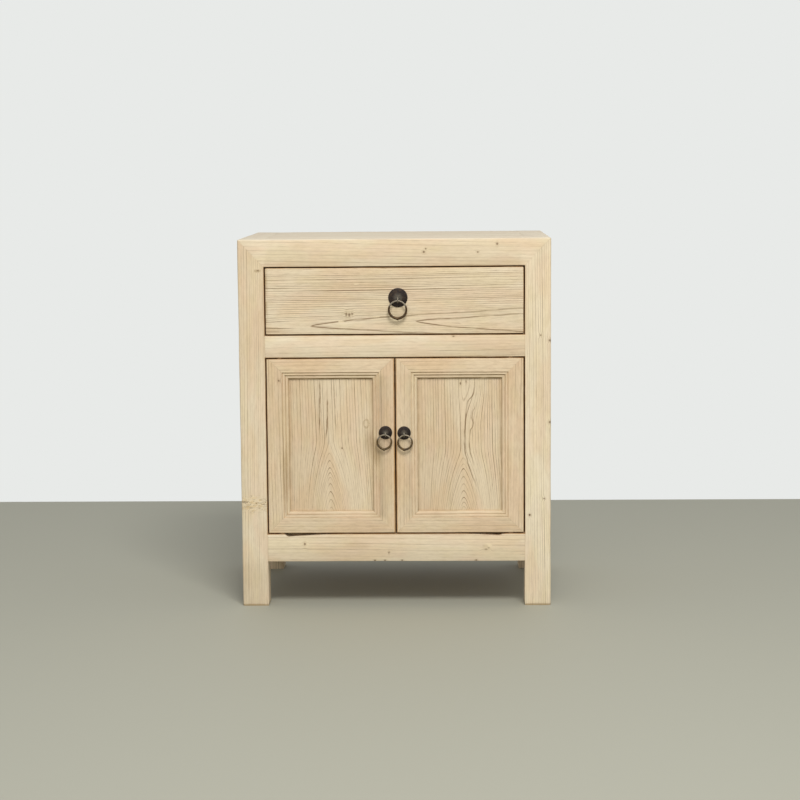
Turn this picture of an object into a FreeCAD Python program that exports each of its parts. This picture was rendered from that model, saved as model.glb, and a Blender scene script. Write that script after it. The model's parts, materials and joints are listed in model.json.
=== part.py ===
import FreeCAD, Part
import math
import os

# A nightstand in the East Asian cabinet style, in pale elm. Four square posts and their rails make a frame
# that is mitred three ways at the top corners, with floating panels in grooves. One drawer runs on wooden
# runners, and two framed doors turn on dowels set in from their edges. Ring pulls of dark iron hang from
# clenched pins.
# Millimetres: X to the right, Y to the back, Z up. The origin is on the floor, under the middle of it all.

# Overall size, with the heights of the front from the floor up
WIDTH = 600.0
DEPTH = 400.0
LEG = 88.0
BOTTOM_RAIL = 53.5
DOOR_OPENING = 345.0
MIDDLE_RAIL = 42.5
DRAWER_OPENING = 132.0
TOP_RAIL = 53.0

# Frame sections
POST = 50.0
MIDDLE_RAIL_DEPTH = 40.0
BOTTOM_RAIL_DEPTH = 30.0
THIN_RAIL = 25.0
OUTER_ROUNDING = 3.0
FOOT_CHAMFER = 1.5
GAP = 2.5

# Frame joints
TENON_LENGTH = 30.0
TENON_INSET = 10.5
FRONT_TENON_IN = 9.0
FRONT_TENON = 12.0
THIN_TENON_IN = 7.0
THIN_TENON = 11.0
SIDE_TENON_LENGTH = 28.0
CORNER_TENON_NEAR = 9.0
CORNER_TENON_FAR = 27.0
CORNER_TENON_WIDE = 14.0
CORNER_TENON_THICK = 12.0
CORNER_TENON_TOP = 17.0
CORNER_TENON_ROOT = 12.5

# Panels and boards in grooves
TONGUE = 8.0
SIDE_PANEL = 9.0
SIDE_PANEL_IN = 7.0
BACK_PANEL = 8.0
BACK_PANEL_IN = 8.0
TOP_BOARD = 15.0
TOP_TONGUE = 7.0
BATTEN_WIDTH = 40.0
BATTEN_HEIGHT = 24.0
BATTEN_TENON_LENGTH = 10.0
BATTEN_TENON_WIDTH = 20.0
BATTEN_TENON_INSET = 6.0
FLOOR_BOARD = 12.0
FLOOR_DROP = 2.5
FLOOR_TONGUE = 6.0

# Worn hollows in the upper edge of the front bottom rail: start, deepest place and end along X, and depth.
# A quarter of the depth is left half way down the short slope, and a third half way up the long one.
LEFT_HOLLOW = (-215.0, -200.0, -108.0, 4.4)
RIGHT_HOLLOW = (211.0, 194.0, 112.0, 3.0)
SHORT_SLOPE_LEFT = 1 / 4
LONG_SLOPE_LEFT = 1 / 3

# Drawer, and what it runs on
DRAWER_FRONT = 20.0
DRAWER_FRONT_ROUNDING = 2.0
DRAWER_LENGTH = 344.0
DRAWER_HALF_WIDTH = 238.0
DRAWER_SIDE = 10.0
DRAWER_SIDE_HEIGHT = 110.5
DRAWER_LIFT = 0.5
DRAWER_FLOOR = 6.0
DRAWER_FLOOR_UP = 7.5
DRAWER_FLOOR_TONGUE = 5.0
DRAWER_FRONT_GROOVE = 6.0
DRAWER_BACK_UP = 15.5
DOVETAILS = 3
DOVETAIL_NARROW = 18.0
DOVETAIL_WIDE = 22.0
DOVETAIL_BLIND = 8.0
RUNNER_INNER = 205.0
RUNNER_HEIGHT = 20.0
RUNNER_TENON_LENGTH = 8.0
RUNNER_TENON_INSET = 10.0
RUNNER_TENON_HEIGHT = 10.0
GUIDE_WIDTH = 10.5
GUIDE_HEIGHT = 22.0
GUIDE_START = 24.0
STOP_WIDTH = 22.0
STOP_HEIGHT = 16.0
STOP_LENGTH = 24.5
STOP_CLEARANCE = 0.5

# Doors
DOOR_THICKNESS = 20.0
DOOR_ROUNDING = 1.2
DOOR_STILE = 42.0
DOOR_TOP_RAIL = 39.0
DOOR_BOTTOM_RAIL = 42.0
DOOR_PANEL = 6.0
DOOR_PANEL_IN = 8.0
DOOR_PANEL_TONGUE = 7.0
DOOR_TENON_START = 12.0
DOOR_TENON_OUT = 16.0
DOOR_TENON_FRONT = 7.0
DOOR_TENON_BACK = 12.0
DOOR_STOP_HALF = 60.0
DOOR_STOP_HEIGHT = 16.5
PIVOT_RADIUS = 5.0
PIVOT_CLEARANCE = 0.06
PIVOT_FROM_EDGE = 25.0
PIVOT_IN_DOOR = 14.0
PIVOT_IN_RAIL = 13.0
PIVOT_SEAT = 0.5

# Stepped moulding round each door panel: its width across the frame, and its two bands
MOULDING_WIDTH = 12.0
MOULDING_STEP = 1.6
MOULDING_BAND = 5.2
MOULDING_SLOPE = 0.4
MOULDING_ROUND = 1.6

# Ring pulls: place on the front (X, Z), and sizes of the plate, ring and eye
DRAWER_PULL = {
    "x": 7.0, "z": 601.0, "plate": 36.0, "dome": 2.6, "ring": 36.8, "wire": 3.2,
    "eye": 9.0, "eye_wire": 2.2, "standoff": 8.6, "drop": 4.0, "wood": DRAWER_FRONT,
}
DOOR_PULL = {
    "plate": 25.2, "dome": 2.2, "ring": 30.0, "wire": 2.8,
    "eye": 7.4, "eye_wire": 2.0, "standoff": 7.3, "drop": 2.6, "wood": DOOR_THICKNESS,
}
LEFT_PULL = dict(DOOR_PULL, x=-19.0, z=340.3)
RIGHT_PULL = dict(DOOR_PULL, x=17.0, z=339.5)
PLATE_RIM = 1.2
PLATE_CROWN = 0.75
PLATE_BOSS = 4.4
SHANK_RADIUS = 1.8
SHANK_CLEARANCE = 0.4
RING_PLAY = 0.15
RING_TIP = 4.2
RING_TIP_END = 0.5
CLENCH_LENGTH = 13.0
CLENCH_WIDTH = 3.2
CLENCH_THICKNESS = 1.6

# Levels and faces worked out from the sizes above
DOOR_LOW = LEG + BOTTOM_RAIL
DOOR_HIGH = DOOR_LOW + DOOR_OPENING
DRAWER_LOW = DOOR_HIGH + MIDDLE_RAIL
DRAWER_HIGH = DRAWER_LOW + DRAWER_OPENING
TOP = DRAWER_HIGH + TOP_RAIL
SIDE = WIDTH / 2
INNER = SIDE - POST
BACK_POST = DEPTH - POST
BACK_RAIL = DEPTH - THIN_RAIL
PIVOT_X = INNER - GAP - PIVOT_FROM_EDGE
PIVOT_DEPTH = DOOR_THICKNESS / 2
PULL_REACH = DRAWER_PULL["standoff"] + (DRAWER_PULL["eye"] + DRAWER_PULL["eye_wire"]) / 2
FRONT = (PULL_REACH - DEPTH) / 2

LEFT, RIGHT = -1, 1
SIDES = {"left": LEFT, "right": RIGHT}
TOP_BOARDS = ("front", "middle", "back")
ACROSS = FreeCAD.Vector(1, 0, 0)
BACKWARD = FreeCAD.Vector(0, 1, 0)
FORWARD = FreeCAD.Vector(0, -1, 0)
UP = FreeCAD.Vector(0, 0, 1)
DOWN = FreeCAD.Vector(0, 0, -1)
FAR = 2000.0
CLEAR = 1.0
SAME_PLACE = 1e-6

pieces = {}


def board(x0, x1, depth0, depth1, z0, z1):
    """A box between two X, two depths behind the front face, and two heights."""
    x0, x1 = sorted((x0, x1))
    return Part.makeBox(x1 - x0, depth1 - depth0, z1 - z0, point(x0, depth0, z0))


def point(x, depth, z):
    return FreeCAD.Vector(x, FRONT + depth, z)


def rod(start, direction, radius, length):
    return Part.makeCylinder(radius, length, start, direction)


def prism(outline, along):
    """A solid swept straight from a closed outline of points."""
    wire = Part.makePolygon([*outline, outline[0]])
    return Part.Face(wire).extrude(along)


def lines(spots):
    """Straight edges through a row of points."""
    return [Part.LineSegment(a, b).toShape() for a, b in zip(spots, spots[1:])]


def trim(shape, at, towards):
    """Cuts away everything on the side of a plane that the direction points to."""
    waste = Part.makeBox(FAR, FAR, FAR, FreeCAD.Vector(-FAR / 2, -FAR / 2, 0))
    waste.Placement = FreeCAD.Placement(at, FreeCAD.Rotation(UP, towards))
    return shape.cut(waste)


def same(a, b):
    return abs(a - b) < SAME_PLACE


def ease(shape, radius, wanted):
    """Rounds the edges whose middle passes a test."""
    return shape.makeFillet(radius, [edge for edge in shape.Edges if wanted(edge.CenterOfMass)])


def corner_mitre(shape, side, back, own):
    """Trims a frame member to its third of a top corner. Planes through the corner part the three."""
    inward = {
        "across": FreeCAD.Vector(-side / POST, 0, 0),
        "deep": FreeCAD.Vector(0, (-1 if back else 1) / POST, 0),
        "down": FreeCAD.Vector(0, 0, -1 / TOP_RAIL),
    }
    corner = point(side * SIDE, DEPTH if back else 0, TOP)
    for other in inward:
        if other != own:
            shape = trim(shape, corner, inward[other] - inward[own])
    return shape


def corner_tenons(side, back):
    """The two tenons on a post's head: one goes up into the front or back rail, one into the side rail."""
    far = (CORNER_TENON_FAR, CORNER_TENON_FAR + CORNER_TENON_WIDE)
    near = (CORNER_TENON_NEAR, CORNER_TENON_NEAR + CORNER_TENON_THICK)
    tenons = []
    for across, deep in ((far, near), (near, far)):
        x0, x1 = (side * (SIDE - reach) for reach in across)
        depth0, depth1 = sorted(DEPTH - reach if back else reach for reach in deep)
        tenons.append(board(x0, x1, depth0, depth1, DRAWER_HIGH - CORNER_TENON_ROOT, TOP - CORNER_TENON_TOP))
    return tenons


def post(side, back):
    depth0 = BACK_POST if back else 0
    outer = point(side * SIDE, DEPTH if back else 0, 0)
    shape = board(side * INNER, side * SIDE, depth0, depth0 + POST, 0, TOP)
    shape = ease(shape, OUTER_ROUNDING, lambda c: same(c.x, outer.x) and same(c.y, outer.y))
    feet = [edge for edge in shape.Edges if same(edge.CenterOfMass.z, 0)]
    shape = shape.makeChamfer(FOOT_CHAMFER, feet)
    shape = corner_mitre(shape, side, back, "down")
    return shape.fuse(corner_tenons(side, back)).removeSplitter()


def cross_rail(low, high, depth0, depth1, tenon0, tenon1):
    """A rail along X between two posts, with a tenon at each end."""
    shape = board(-INNER, INNER, depth0, depth1, low, high)
    reach = INNER + TENON_LENGTH
    tenon = board(-reach, reach, tenon0, tenon1, low + TENON_INSET, high - TENON_INSET)
    return shape.fuse(tenon).removeSplitter()


def side_rail(side):
    """A bottom rail along Y, with a tenon at each end."""
    shape = board(side * (SIDE - THIN_RAIL), side * SIDE, POST, BACK_POST, LEG, DOOR_LOW)
    outer = SIDE - THIN_TENON_IN
    tenon = board(
        side * (outer - THIN_TENON), side * outer, POST - SIDE_TENON_LENGTH, BACK_POST + SIDE_TENON_LENGTH,
        LEG + TENON_INSET, DOOR_LOW - TENON_INSET)
    return shape.fuse(tenon).removeSplitter()


def hollow(start, deepest, end, depth):
    """A worn dip in the upper edge of the front bottom rail, short on one side and long on the other."""
    low = DOOR_LOW - depth
    places = [
        (start, DOOR_LOW), ((start + deepest) / 2, low + depth * SHORT_SLOPE_LEFT), (deepest, low),
        ((deepest + end) / 2, low + depth * LONG_SLOPE_LEFT), (end, DOOR_LOW),
    ]
    spots = [point(x, 0, z) for x, z in places]
    edges = [Part.Arc(*spots[0:3]).toShape(), Part.Arc(*spots[2:5]).toShape(), *lines([spots[4], spots[0]])]
    return Part.Face(Part.Wire(edges)).extrude(BACKWARD * BOTTOM_RAIL_DEPTH)


def build_posts_and_top_rails():
    for back, place in ((False, "front"), (True, "back")):
        depth0 = BACK_POST if back else 0
        outer = FRONT + (DEPTH if back else 0)
        rail = board(-SIDE, SIDE, depth0, depth0 + POST, DRAWER_HIGH, TOP)
        rail = ease(rail, OUTER_ROUNDING, lambda c: same(c.y, outer) and same(c.z, TOP))
        for name, side in SIDES.items():
            pieces[f"post_{place}_{name}"] = post(side, back)
            rail = corner_mitre(rail, side, back, "across")
        pieces[f"top_rail_{place}"] = rail
    for name, side in SIDES.items():
        rail = board(side * INNER, side * SIDE, 0, DEPTH, DRAWER_HIGH, TOP)
        rail = ease(rail, OUTER_ROUNDING, lambda c: same(c.x, side * SIDE) and same(c.z, TOP))
        for back in (False, True):
            rail = corner_mitre(rail, side, back, "deep")
        pieces[f"top_rail_{name}"] = rail


def build_lower_rails():
    front_tenon = (FRONT_TENON_IN, FRONT_TENON_IN + FRONT_TENON)
    back_tenon = (DEPTH - THIN_TENON_IN - THIN_TENON, DEPTH - THIN_TENON_IN)
    pieces["middle_rail_front"] = cross_rail(DOOR_HIGH, DRAWER_LOW, 0, MIDDLE_RAIL_DEPTH, *front_tenon)
    pieces["middle_rail_back"] = cross_rail(DOOR_HIGH, DRAWER_LOW, BACK_RAIL, DEPTH, *back_tenon)
    bottom = cross_rail(LEG, DOOR_LOW, 0, BOTTOM_RAIL_DEPTH, *front_tenon)
    pieces["bottom_rail_front"] = bottom.cut([hollow(*LEFT_HOLLOW), hollow(*RIGHT_HOLLOW)])
    pieces["bottom_rail_back"] = cross_rail(LEG, DOOR_LOW, BACK_RAIL, DEPTH, *back_tenon)
    for name, side in SIDES.items():
        pieces[f"bottom_rail_{name}"] = side_rail(side)


def build_side_and_back_panels():
    low = DOOR_LOW - TONGUE
    high = DRAWER_HIGH + TONGUE
    outer = SIDE - SIDE_PANEL_IN
    for name, side in SIDES.items():
        pieces[f"side_panel_{name}"] = board(
            side * (outer - SIDE_PANEL), side * outer, POST - TONGUE, BACK_POST + TONGUE, low, high)
    depth1 = DEPTH - BACK_PANEL_IN
    reach = INNER + TONGUE
    for name, z0, z1 in (("lower", low, DOOR_HIGH + TONGUE), ("upper", DRAWER_LOW - TONGUE, high)):
        pieces[f"back_panel_{name}"] = board(-reach, reach, depth1 - BACK_PANEL, depth1, z0, z1)


def build_top_boards():
    """Boards flush with the rails round them, and the batten that holds them flat from below."""
    width = (BACK_POST - POST) / len(TOP_BOARDS)
    reach = INNER + TONGUE
    under = TOP - TOP_BOARD
    for i, name in enumerate(TOP_BOARDS):
        depth0 = POST + i * width
        depth1 = depth0 + width
        shape = board(-INNER, INNER, depth0, depth1, under, TOP)
        tongue0 = depth0 - (TONGUE if name == "front" else 0)
        tongue1 = depth1 + (TONGUE if name == "back" else 0)
        tongue = board(-reach, reach, tongue0, tongue1, under, under + TOP_TONGUE)
        pieces[f"top_board_{name}"] = shape.fuse(tongue).removeSplitter()
    half, tenon_half = BATTEN_WIDTH / 2, BATTEN_TENON_WIDTH / 2
    low = under - BATTEN_HEIGHT
    batten = board(-half, half, POST, BACK_POST, low, under)
    tenon = board(
        -tenon_half, tenon_half, POST - BATTEN_TENON_LENGTH, BACK_POST + BATTEN_TENON_LENGTH,
        low + BATTEN_TENON_INSET, under - BATTEN_TENON_INSET)
    pieces["top_batten"] = batten.fuse(tenon).removeSplitter()


def build_floor():
    """Two floor boards in the grooves of the bottom rails, notched round the posts."""
    high = DOOR_LOW - FLOOR_DROP
    reach = SIDE - THIN_RAIL + FLOOR_TONGUE
    middle = DEPTH / 2
    posts = []
    for side in (LEFT, RIGHT):
        for depth0 in (0, BACK_POST):
            posts.append(board(side * INNER, side * SIDE, depth0, depth0 + POST, 0, TOP))
    spans = {"front": (BOTTOM_RAIL_DEPTH - FLOOR_TONGUE, middle), "back": (middle, BACK_RAIL + FLOOR_TONGUE)}
    for name, span in spans.items():
        shape = board(-reach, reach, *span, high - FLOOR_BOARD, high)
        pieces[f"floor_board_{name}"] = shape.cut(posts)


def build_runners():
    """What carries, guides and stops the drawer, and the block that the doors close against."""
    stops = []
    stop0 = DRAWER_LENGTH + STOP_CLEARANCE
    tenon_high = DRAWER_LOW - (RUNNER_HEIGHT - RUNNER_TENON_HEIGHT) / 2
    for name, side in SIDES.items():
        runner = board(
            side * RUNNER_INNER, side * INNER, MIDDLE_RAIL_DEPTH, BACK_RAIL,
            DRAWER_LOW - RUNNER_HEIGHT, DRAWER_LOW)
        tenon = board(
            side * (RUNNER_INNER + RUNNER_TENON_INSET), side * (INNER - RUNNER_TENON_INSET),
            MIDDLE_RAIL_DEPTH - RUNNER_TENON_LENGTH, BACK_RAIL + RUNNER_TENON_LENGTH,
            tenon_high - RUNNER_TENON_HEIGHT, tenon_high)
        pieces[f"drawer_runner_{name}"] = runner.fuse(tenon).removeSplitter()
        pieces[f"drawer_guide_{name}"] = board(
            side * (INNER - GUIDE_WIDTH), side * INNER, GUIDE_START, BACK_POST,
            DRAWER_LOW, DRAWER_LOW + GUIDE_HEIGHT)
        stops.append(board(
            side * (DRAWER_HALF_WIDTH - STOP_WIDTH), side * DRAWER_HALF_WIDTH, stop0, stop0 + STOP_LENGTH,
            DRAWER_LOW, DRAWER_LOW + STOP_HEIGHT))
    pieces["drawer_stops"] = Part.makeCompound(stops)
    pieces["door_stop"] = board(
        -DOOR_STOP_HALF, DOOR_STOP_HALF, DOOR_THICKNESS + STOP_CLEARANCE, MIDDLE_RAIL_DEPTH,
        DOOR_HIGH - DOOR_STOP_HEIGHT, DOOR_HIGH)


def drawer_side(side):
    """One side of the drawer, with flared dovetails at both ends."""
    low = DRAWER_LOW + DRAWER_LIFT
    back = DRAWER_LENGTH - DRAWER_SIDE
    inner = side * (DRAWER_HALF_WIDTH - DRAWER_SIDE)
    outer = side * DRAWER_HALF_WIDTH
    shape = board(inner, outer, DRAWER_FRONT, back, low, low + DRAWER_SIDE_HEIGHT)
    narrow, wide = DOVETAIL_NARROW / 2, DOVETAIL_WIDE / 2
    tails = []
    for i in range(DOVETAILS):
        middle = low + DRAWER_SIDE_HEIGHT * (i + 0.5) / DOVETAILS
        for root, tip in ((DRAWER_FRONT, DRAWER_FRONT - DOVETAIL_BLIND), (back, DRAWER_LENGTH)):
            outline = [
                point(inner, root, middle - narrow), point(inner, tip, middle - wide),
                point(inner, tip, middle + wide), point(inner, root, middle + narrow),
            ]
            tails.append(prism(outline, ACROSS * (outer - inner)))
    return shape.fuse(tails).removeSplitter()


def build_drawer():
    low = DRAWER_LOW + DRAWER_LIFT
    half = INNER - GAP
    front = board(-half, half, 0, DRAWER_FRONT, DRAWER_LOW + GAP, DRAWER_HIGH - GAP)
    front = ease(front, DRAWER_FRONT_ROUNDING, lambda c: same(c.y, FRONT))
    sides = {name: drawer_side(side) for name, side in SIDES.items()}
    floor_half = DRAWER_HALF_WIDTH - DRAWER_SIDE + DRAWER_FLOOR_TONGUE
    floor_low = low + DRAWER_FLOOR_UP
    floor = board(
        -floor_half, floor_half, DRAWER_FRONT - DRAWER_FRONT_GROOVE, DRAWER_LENGTH,
        floor_low, floor_low + DRAWER_FLOOR)
    back = board(
        -DRAWER_HALF_WIDTH, DRAWER_HALF_WIDTH, DRAWER_LENGTH - DRAWER_SIDE, DRAWER_LENGTH,
        low + DRAWER_BACK_UP, low + DRAWER_SIDE_HEIGHT)
    pieces["drawer_front"] = front.cut([*sides.values(), floor, pin_hole(DRAWER_PULL)])
    for name, shape in sides.items():
        pieces[f"drawer_side_{name}"] = shape.cut(floor)
    pieces["drawer_back"] = back.cut(list(sides.values()))
    pieces["drawer_bottom"] = floor


def moulding(place, along):
    """The waste of the stepped moulding. Place puts a spot of its profile on the door, given as distance out
    from the panel's visible edge and depth, and along is how far the profile runs."""
    second = MOULDING_WIDTH - MOULDING_SLOPE - MOULDING_BAND
    depth1 = MOULDING_STEP
    depth2 = depth1 + MOULDING_SLOPE + MOULDING_STEP
    depth3 = depth2 + MOULDING_SLOPE
    bottom = depth3 + MOULDING_ROUND
    bulge = MOULDING_ROUND * (1 - math.sqrt(0.5))
    steps = [
        (-CLEAR, bottom), (-CLEAR, -CLEAR), (MOULDING_WIDTH, -CLEAR), (MOULDING_WIDTH, 0),
        (MOULDING_WIDTH - MOULDING_SLOPE, depth1), (second, depth1 + MOULDING_SLOPE),
        (second - MOULDING_SLOPE, depth2), (MOULDING_ROUND, depth3),
    ]
    spots = [place(*step) for step in steps]
    end = place(0, bottom)
    nose = Part.Arc(spots[-1], place(bulge, depth3 + bulge), end).toShape()
    edges = [*lines(spots), nose, *lines([end, spots[0]])]
    return Part.Face(Part.Wire(edges)).extrude(along)


def door_stile(side, edge_x, sight_x, low, high, sight_low, sight_high):
    """An upright of a door frame, from the door's edge to the panel's visible edge, mitred at both ends."""
    out = math.copysign(1, edge_x - sight_x)
    shape = board(side * edge_x, side * sight_x, 0, DOOR_THICKNESS, low, high)
    shape = ease(shape, DOOR_ROUNDING, lambda c: same(c.y, FRONT) and same(c.x, side * edge_x))
    shape = shape.cut(moulding(lambda s, d: point(side * (sight_x + out * s), d, low), UP * (high - low)))
    for z, slope in ((sight_low, -1), (sight_high, 1)):
        shape = trim(shape, point(side * sight_x, 0, z), FreeCAD.Vector(-side * out, 0, slope))
    return shape


def door_rail(side, edge_z, sight_z, near_x, far_x, sight_near, sight_far):
    """A level member of a door frame, mitred at both ends, with a tenon through each mitre."""
    out = math.copysign(1, edge_z - sight_z)
    shape = board(side * near_x, side * far_x, 0, DOOR_THICKNESS, *sorted((edge_z, sight_z)))
    shape = ease(shape, DOOR_ROUNDING, lambda c: same(c.y, FRONT) and same(c.z, edge_z))
    run = ACROSS * (side * (far_x - near_x))
    shape = shape.cut(moulding(lambda s, d: point(side * near_x, d, sight_z + out * s), run))
    for x, slope in ((sight_near, -1), (sight_far, 1)):
        shape = trim(shape, point(side * x, 0, sight_z), FreeCAD.Vector(side * slope, 0, -out))
    tenon = board(
        side * (near_x + DOOR_TENON_START), side * (far_x - DOOR_TENON_START),
        DOOR_TENON_FRONT, DOOR_TENON_BACK,
        *sorted((edge_z - out * DOOR_TENON_OUT, sight_z + out * DOOR_PANEL_TONGUE)))
    return shape.fuse(tenon).removeSplitter()


def build_door(name, side, pull):
    """A mitred door frame with a moulded inner edge, its panel and the dowels that it turns on."""
    near_x, far_x = GAP / 2, INNER - GAP
    low, high = DOOR_LOW + GAP, DOOR_HIGH - GAP
    sight_near, sight_far = near_x + DOOR_STILE, far_x - DOOR_STILE
    sight_low, sight_high = low + DOOR_BOTTOM_RAIL, high - DOOR_TOP_RAIL
    heights = (low, high, sight_low, sight_high)
    widths = (near_x, far_x, sight_near, sight_far)
    panel = board(
        side * (sight_near - DOOR_PANEL_TONGUE), side * (sight_far + DOOR_PANEL_TONGUE),
        DOOR_PANEL_IN, DOOR_PANEL_IN + DOOR_PANEL,
        sight_low - DOOR_PANEL_TONGUE, sight_high + DOOR_PANEL_TONGUE)
    top = door_rail(side, high, sight_high, *widths)
    bottom = door_rail(side, low, sight_low, *widths)
    hinge = door_stile(side, far_x, sight_far, *heights)
    meeting = door_stile(side, near_x, sight_near, *heights)
    pieces[f"{name}_door_hinge_stile"] = hinge.cut([panel, top, bottom])
    pieces[f"{name}_door_meeting_stile"] = meeting.cut([panel, top, bottom, pin_hole(pull)])
    pieces[f"{name}_door_panel"] = panel
    dowel = PIVOT_IN_DOOR + GAP + PIVOT_IN_RAIL
    for place, rail, foot, way in (
        ("top", top, high - PIVOT_IN_DOOR, UP), ("bottom", bottom, low + PIVOT_IN_DOOR, DOWN),
    ):
        start = point(side * PIVOT_X, PIVOT_DEPTH, foot)
        socket = rod(start, way, PIVOT_RADIUS + PIVOT_CLEARANCE, dowel)
        pieces[f"{name}_door_{place}_rail"] = rail.cut([panel, socket])
        pieces[f"{name}_door_pivot_{place}"] = rod(start, way, PIVOT_RADIUS, dowel)


def pin_hole(pull):
    return rod(point(pull["x"], -CLEAR, pull["z"]), BACKWARD, SHANK_RADIUS + SHANK_CLEARANCE, FAR)


def pull_plate(pull):
    """A round plate with a low dome and a hole for the pin."""
    radius = pull["plate"] / 2
    hole = SHANK_RADIUS + SHANK_CLEARANCE
    rise = pull["dome"]
    crown = ((radius + PLATE_BOSS) / 2, PLATE_RIM + (rise - PLATE_RIM) * PLATE_CROWN)

    def spot(out, height):
        return point(pull["x"] + out, -height, pull["z"])

    rim = [spot(hole, 0), spot(radius, 0), spot(radius, PLATE_RIM)]
    boss = [spot(PLATE_BOSS, rise), spot(hole, rise), rim[0]]
    dome = Part.Arc(rim[-1], spot(*crown), boss[0]).toShape()
    profile = Part.Face(Part.Wire([*lines(rim), dome, *lines(boss)]))
    return profile.revolve(point(pull["x"], 0, pull["z"]), FORWARD, 360)


def pull_pin(pull):
    """A pin with an eye in front of the plate, and its two ends bent over on the back of the wood."""
    eye_centre = point(pull["x"], -pull["standoff"], pull["z"] - pull["drop"])
    eye = Part.makeTorus(pull["eye"] / 2, pull["eye_wire"] / 2, eye_centre, ACROSS)
    shank = rod(
        point(pull["x"], -pull["standoff"], pull["z"]), BACKWARD, SHANK_RADIUS,
        pull["standoff"] + pull["wood"] + CLENCH_THICKNESS)
    ends = board(
        pull["x"] - CLENCH_WIDTH / 2, pull["x"] + CLENCH_WIDTH / 2,
        pull["wood"], pull["wood"] + CLENCH_THICKNESS,
        pull["z"] - CLENCH_LENGTH, pull["z"] + CLENCH_LENGTH)
    return eye.fuse([shank, ends])


def pull_ring(name, pull):
    """A round wire ring with a small point at the bottom, hanging in the eye of its pin."""
    wire = pull["wire"] / 2
    radius = pull["ring"] / 2 - wire
    hang = (pull["eye"] - pull["eye_wire"]) / 2 - wire - RING_PLAY
    swing = point(pull["x"], -pull["standoff"], pull["z"] - pull["drop"] - hang)
    ring = Part.makeTorus(radius, wire, swing + DOWN * radius, FORWARD)
    tip = Part.makeCone(wire, RING_TIP_END, RING_TIP, swing + DOWN * (2 * radius), DOWN)
    print(f"{name} ring swings about X at {swing.x:.3f}, {swing.y:.3f}, {swing.z:.3f}")
    return ring.fuse(tip)


def build_pull(name, pull):
    pieces[f"{name}_pull_plate"] = pull_plate(pull)
    pieces[f"{name}_pull_pin"] = pull_pin(pull)
    pieces[f"{name}_pull_ring"] = pull_ring(name, pull)


def cut_joints():
    """Cuts each host by the tenons and tongues that enter it."""
    tops = [f"top_board_{place}" for place in TOP_BOARDS]
    floors = ["floor_board_front", "floor_board_back"]
    backs = ["back_panel_lower", "back_panel_upper"]
    runners = ["drawer_runner_left", "drawer_runner_right"]
    guests = {
        "middle_rail_front": runners,
        "middle_rail_back": [*runners, *backs],
        "bottom_rail_front": floors,
        "bottom_rail_back": [*floors, *backs],
        "top_rail_front": [*tops, "top_batten", "post_front_left", "post_front_right"],
        "top_rail_back": [*tops, *backs, "top_batten", "post_back_left", "post_back_right"],
    }
    for name in SIDES:
        panel = f"side_panel_{name}"
        low_rail = f"bottom_rail_{name}"
        guests[low_rail] = [*floors, panel]
        guests[f"top_rail_{name}"] = [*tops, panel, f"post_front_{name}", f"post_back_{name}"]
        guests[f"post_front_{name}"] = [panel, "middle_rail_front", "bottom_rail_front", low_rail]
        guests[f"post_back_{name}"] = [panel, *backs, "middle_rail_back", "bottom_rail_back", low_rail]
    whole = dict(pieces)
    for host, names in guests.items():
        pieces[host] = whole[host].cut([whole[name] for name in names])


def cut_pivot_holes():
    """Bores the rails above and below the doors for their dowels."""
    depth = PIVOT_IN_RAIL + PIVOT_SEAT + CLEAR
    for side in (LEFT, RIGHT):
        for host, z, way in (("middle_rail_front", DOOR_HIGH, UP), ("bottom_rail_front", DOOR_LOW, DOWN)):
            start = point(side * PIVOT_X, PIVOT_DEPTH, z) - way * CLEAR
            pieces[host] = pieces[host].cut(rod(start, way, PIVOT_RADIUS + PIVOT_CLEARANCE, depth))
    print(f"doors turn about Z at {PIVOT_X:.3f} each side, {FRONT + PIVOT_DEPTH:.3f}")


def write_parts():
    os.makedirs("parts", exist_ok=True)
    for name, shape in pieces.items():
        expected = 2 if name == "drawer_stops" else 1
        if len(shape.Solids) != expected or not shape.isValid():
            print(f"{name} has {len(shape.Solids)} solids, valid: {shape.isValid()}")
        whole = shape.Solids[0] if expected == 1 else shape
        whole.exportStep(f"parts/{name}.step")
    print(f"{len(pieces)} pieces, front face at Y {FRONT:.3f}, top at Z {TOP:.3f}")


build_posts_and_top_rails()
build_lower_rails()
build_side_and_back_panels()
build_top_boards()
build_floor()
build_runners()
cut_joints()
cut_pivot_holes()
build_drawer()
build_door("left", LEFT, LEFT_PULL)
build_door("right", RIGHT, RIGHT_PULL)
build_pull("drawer", DRAWER_PULL)
build_pull("left_door", LEFT_PULL)
build_pull("right_door", RIGHT_PULL)
write_parts()
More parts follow.
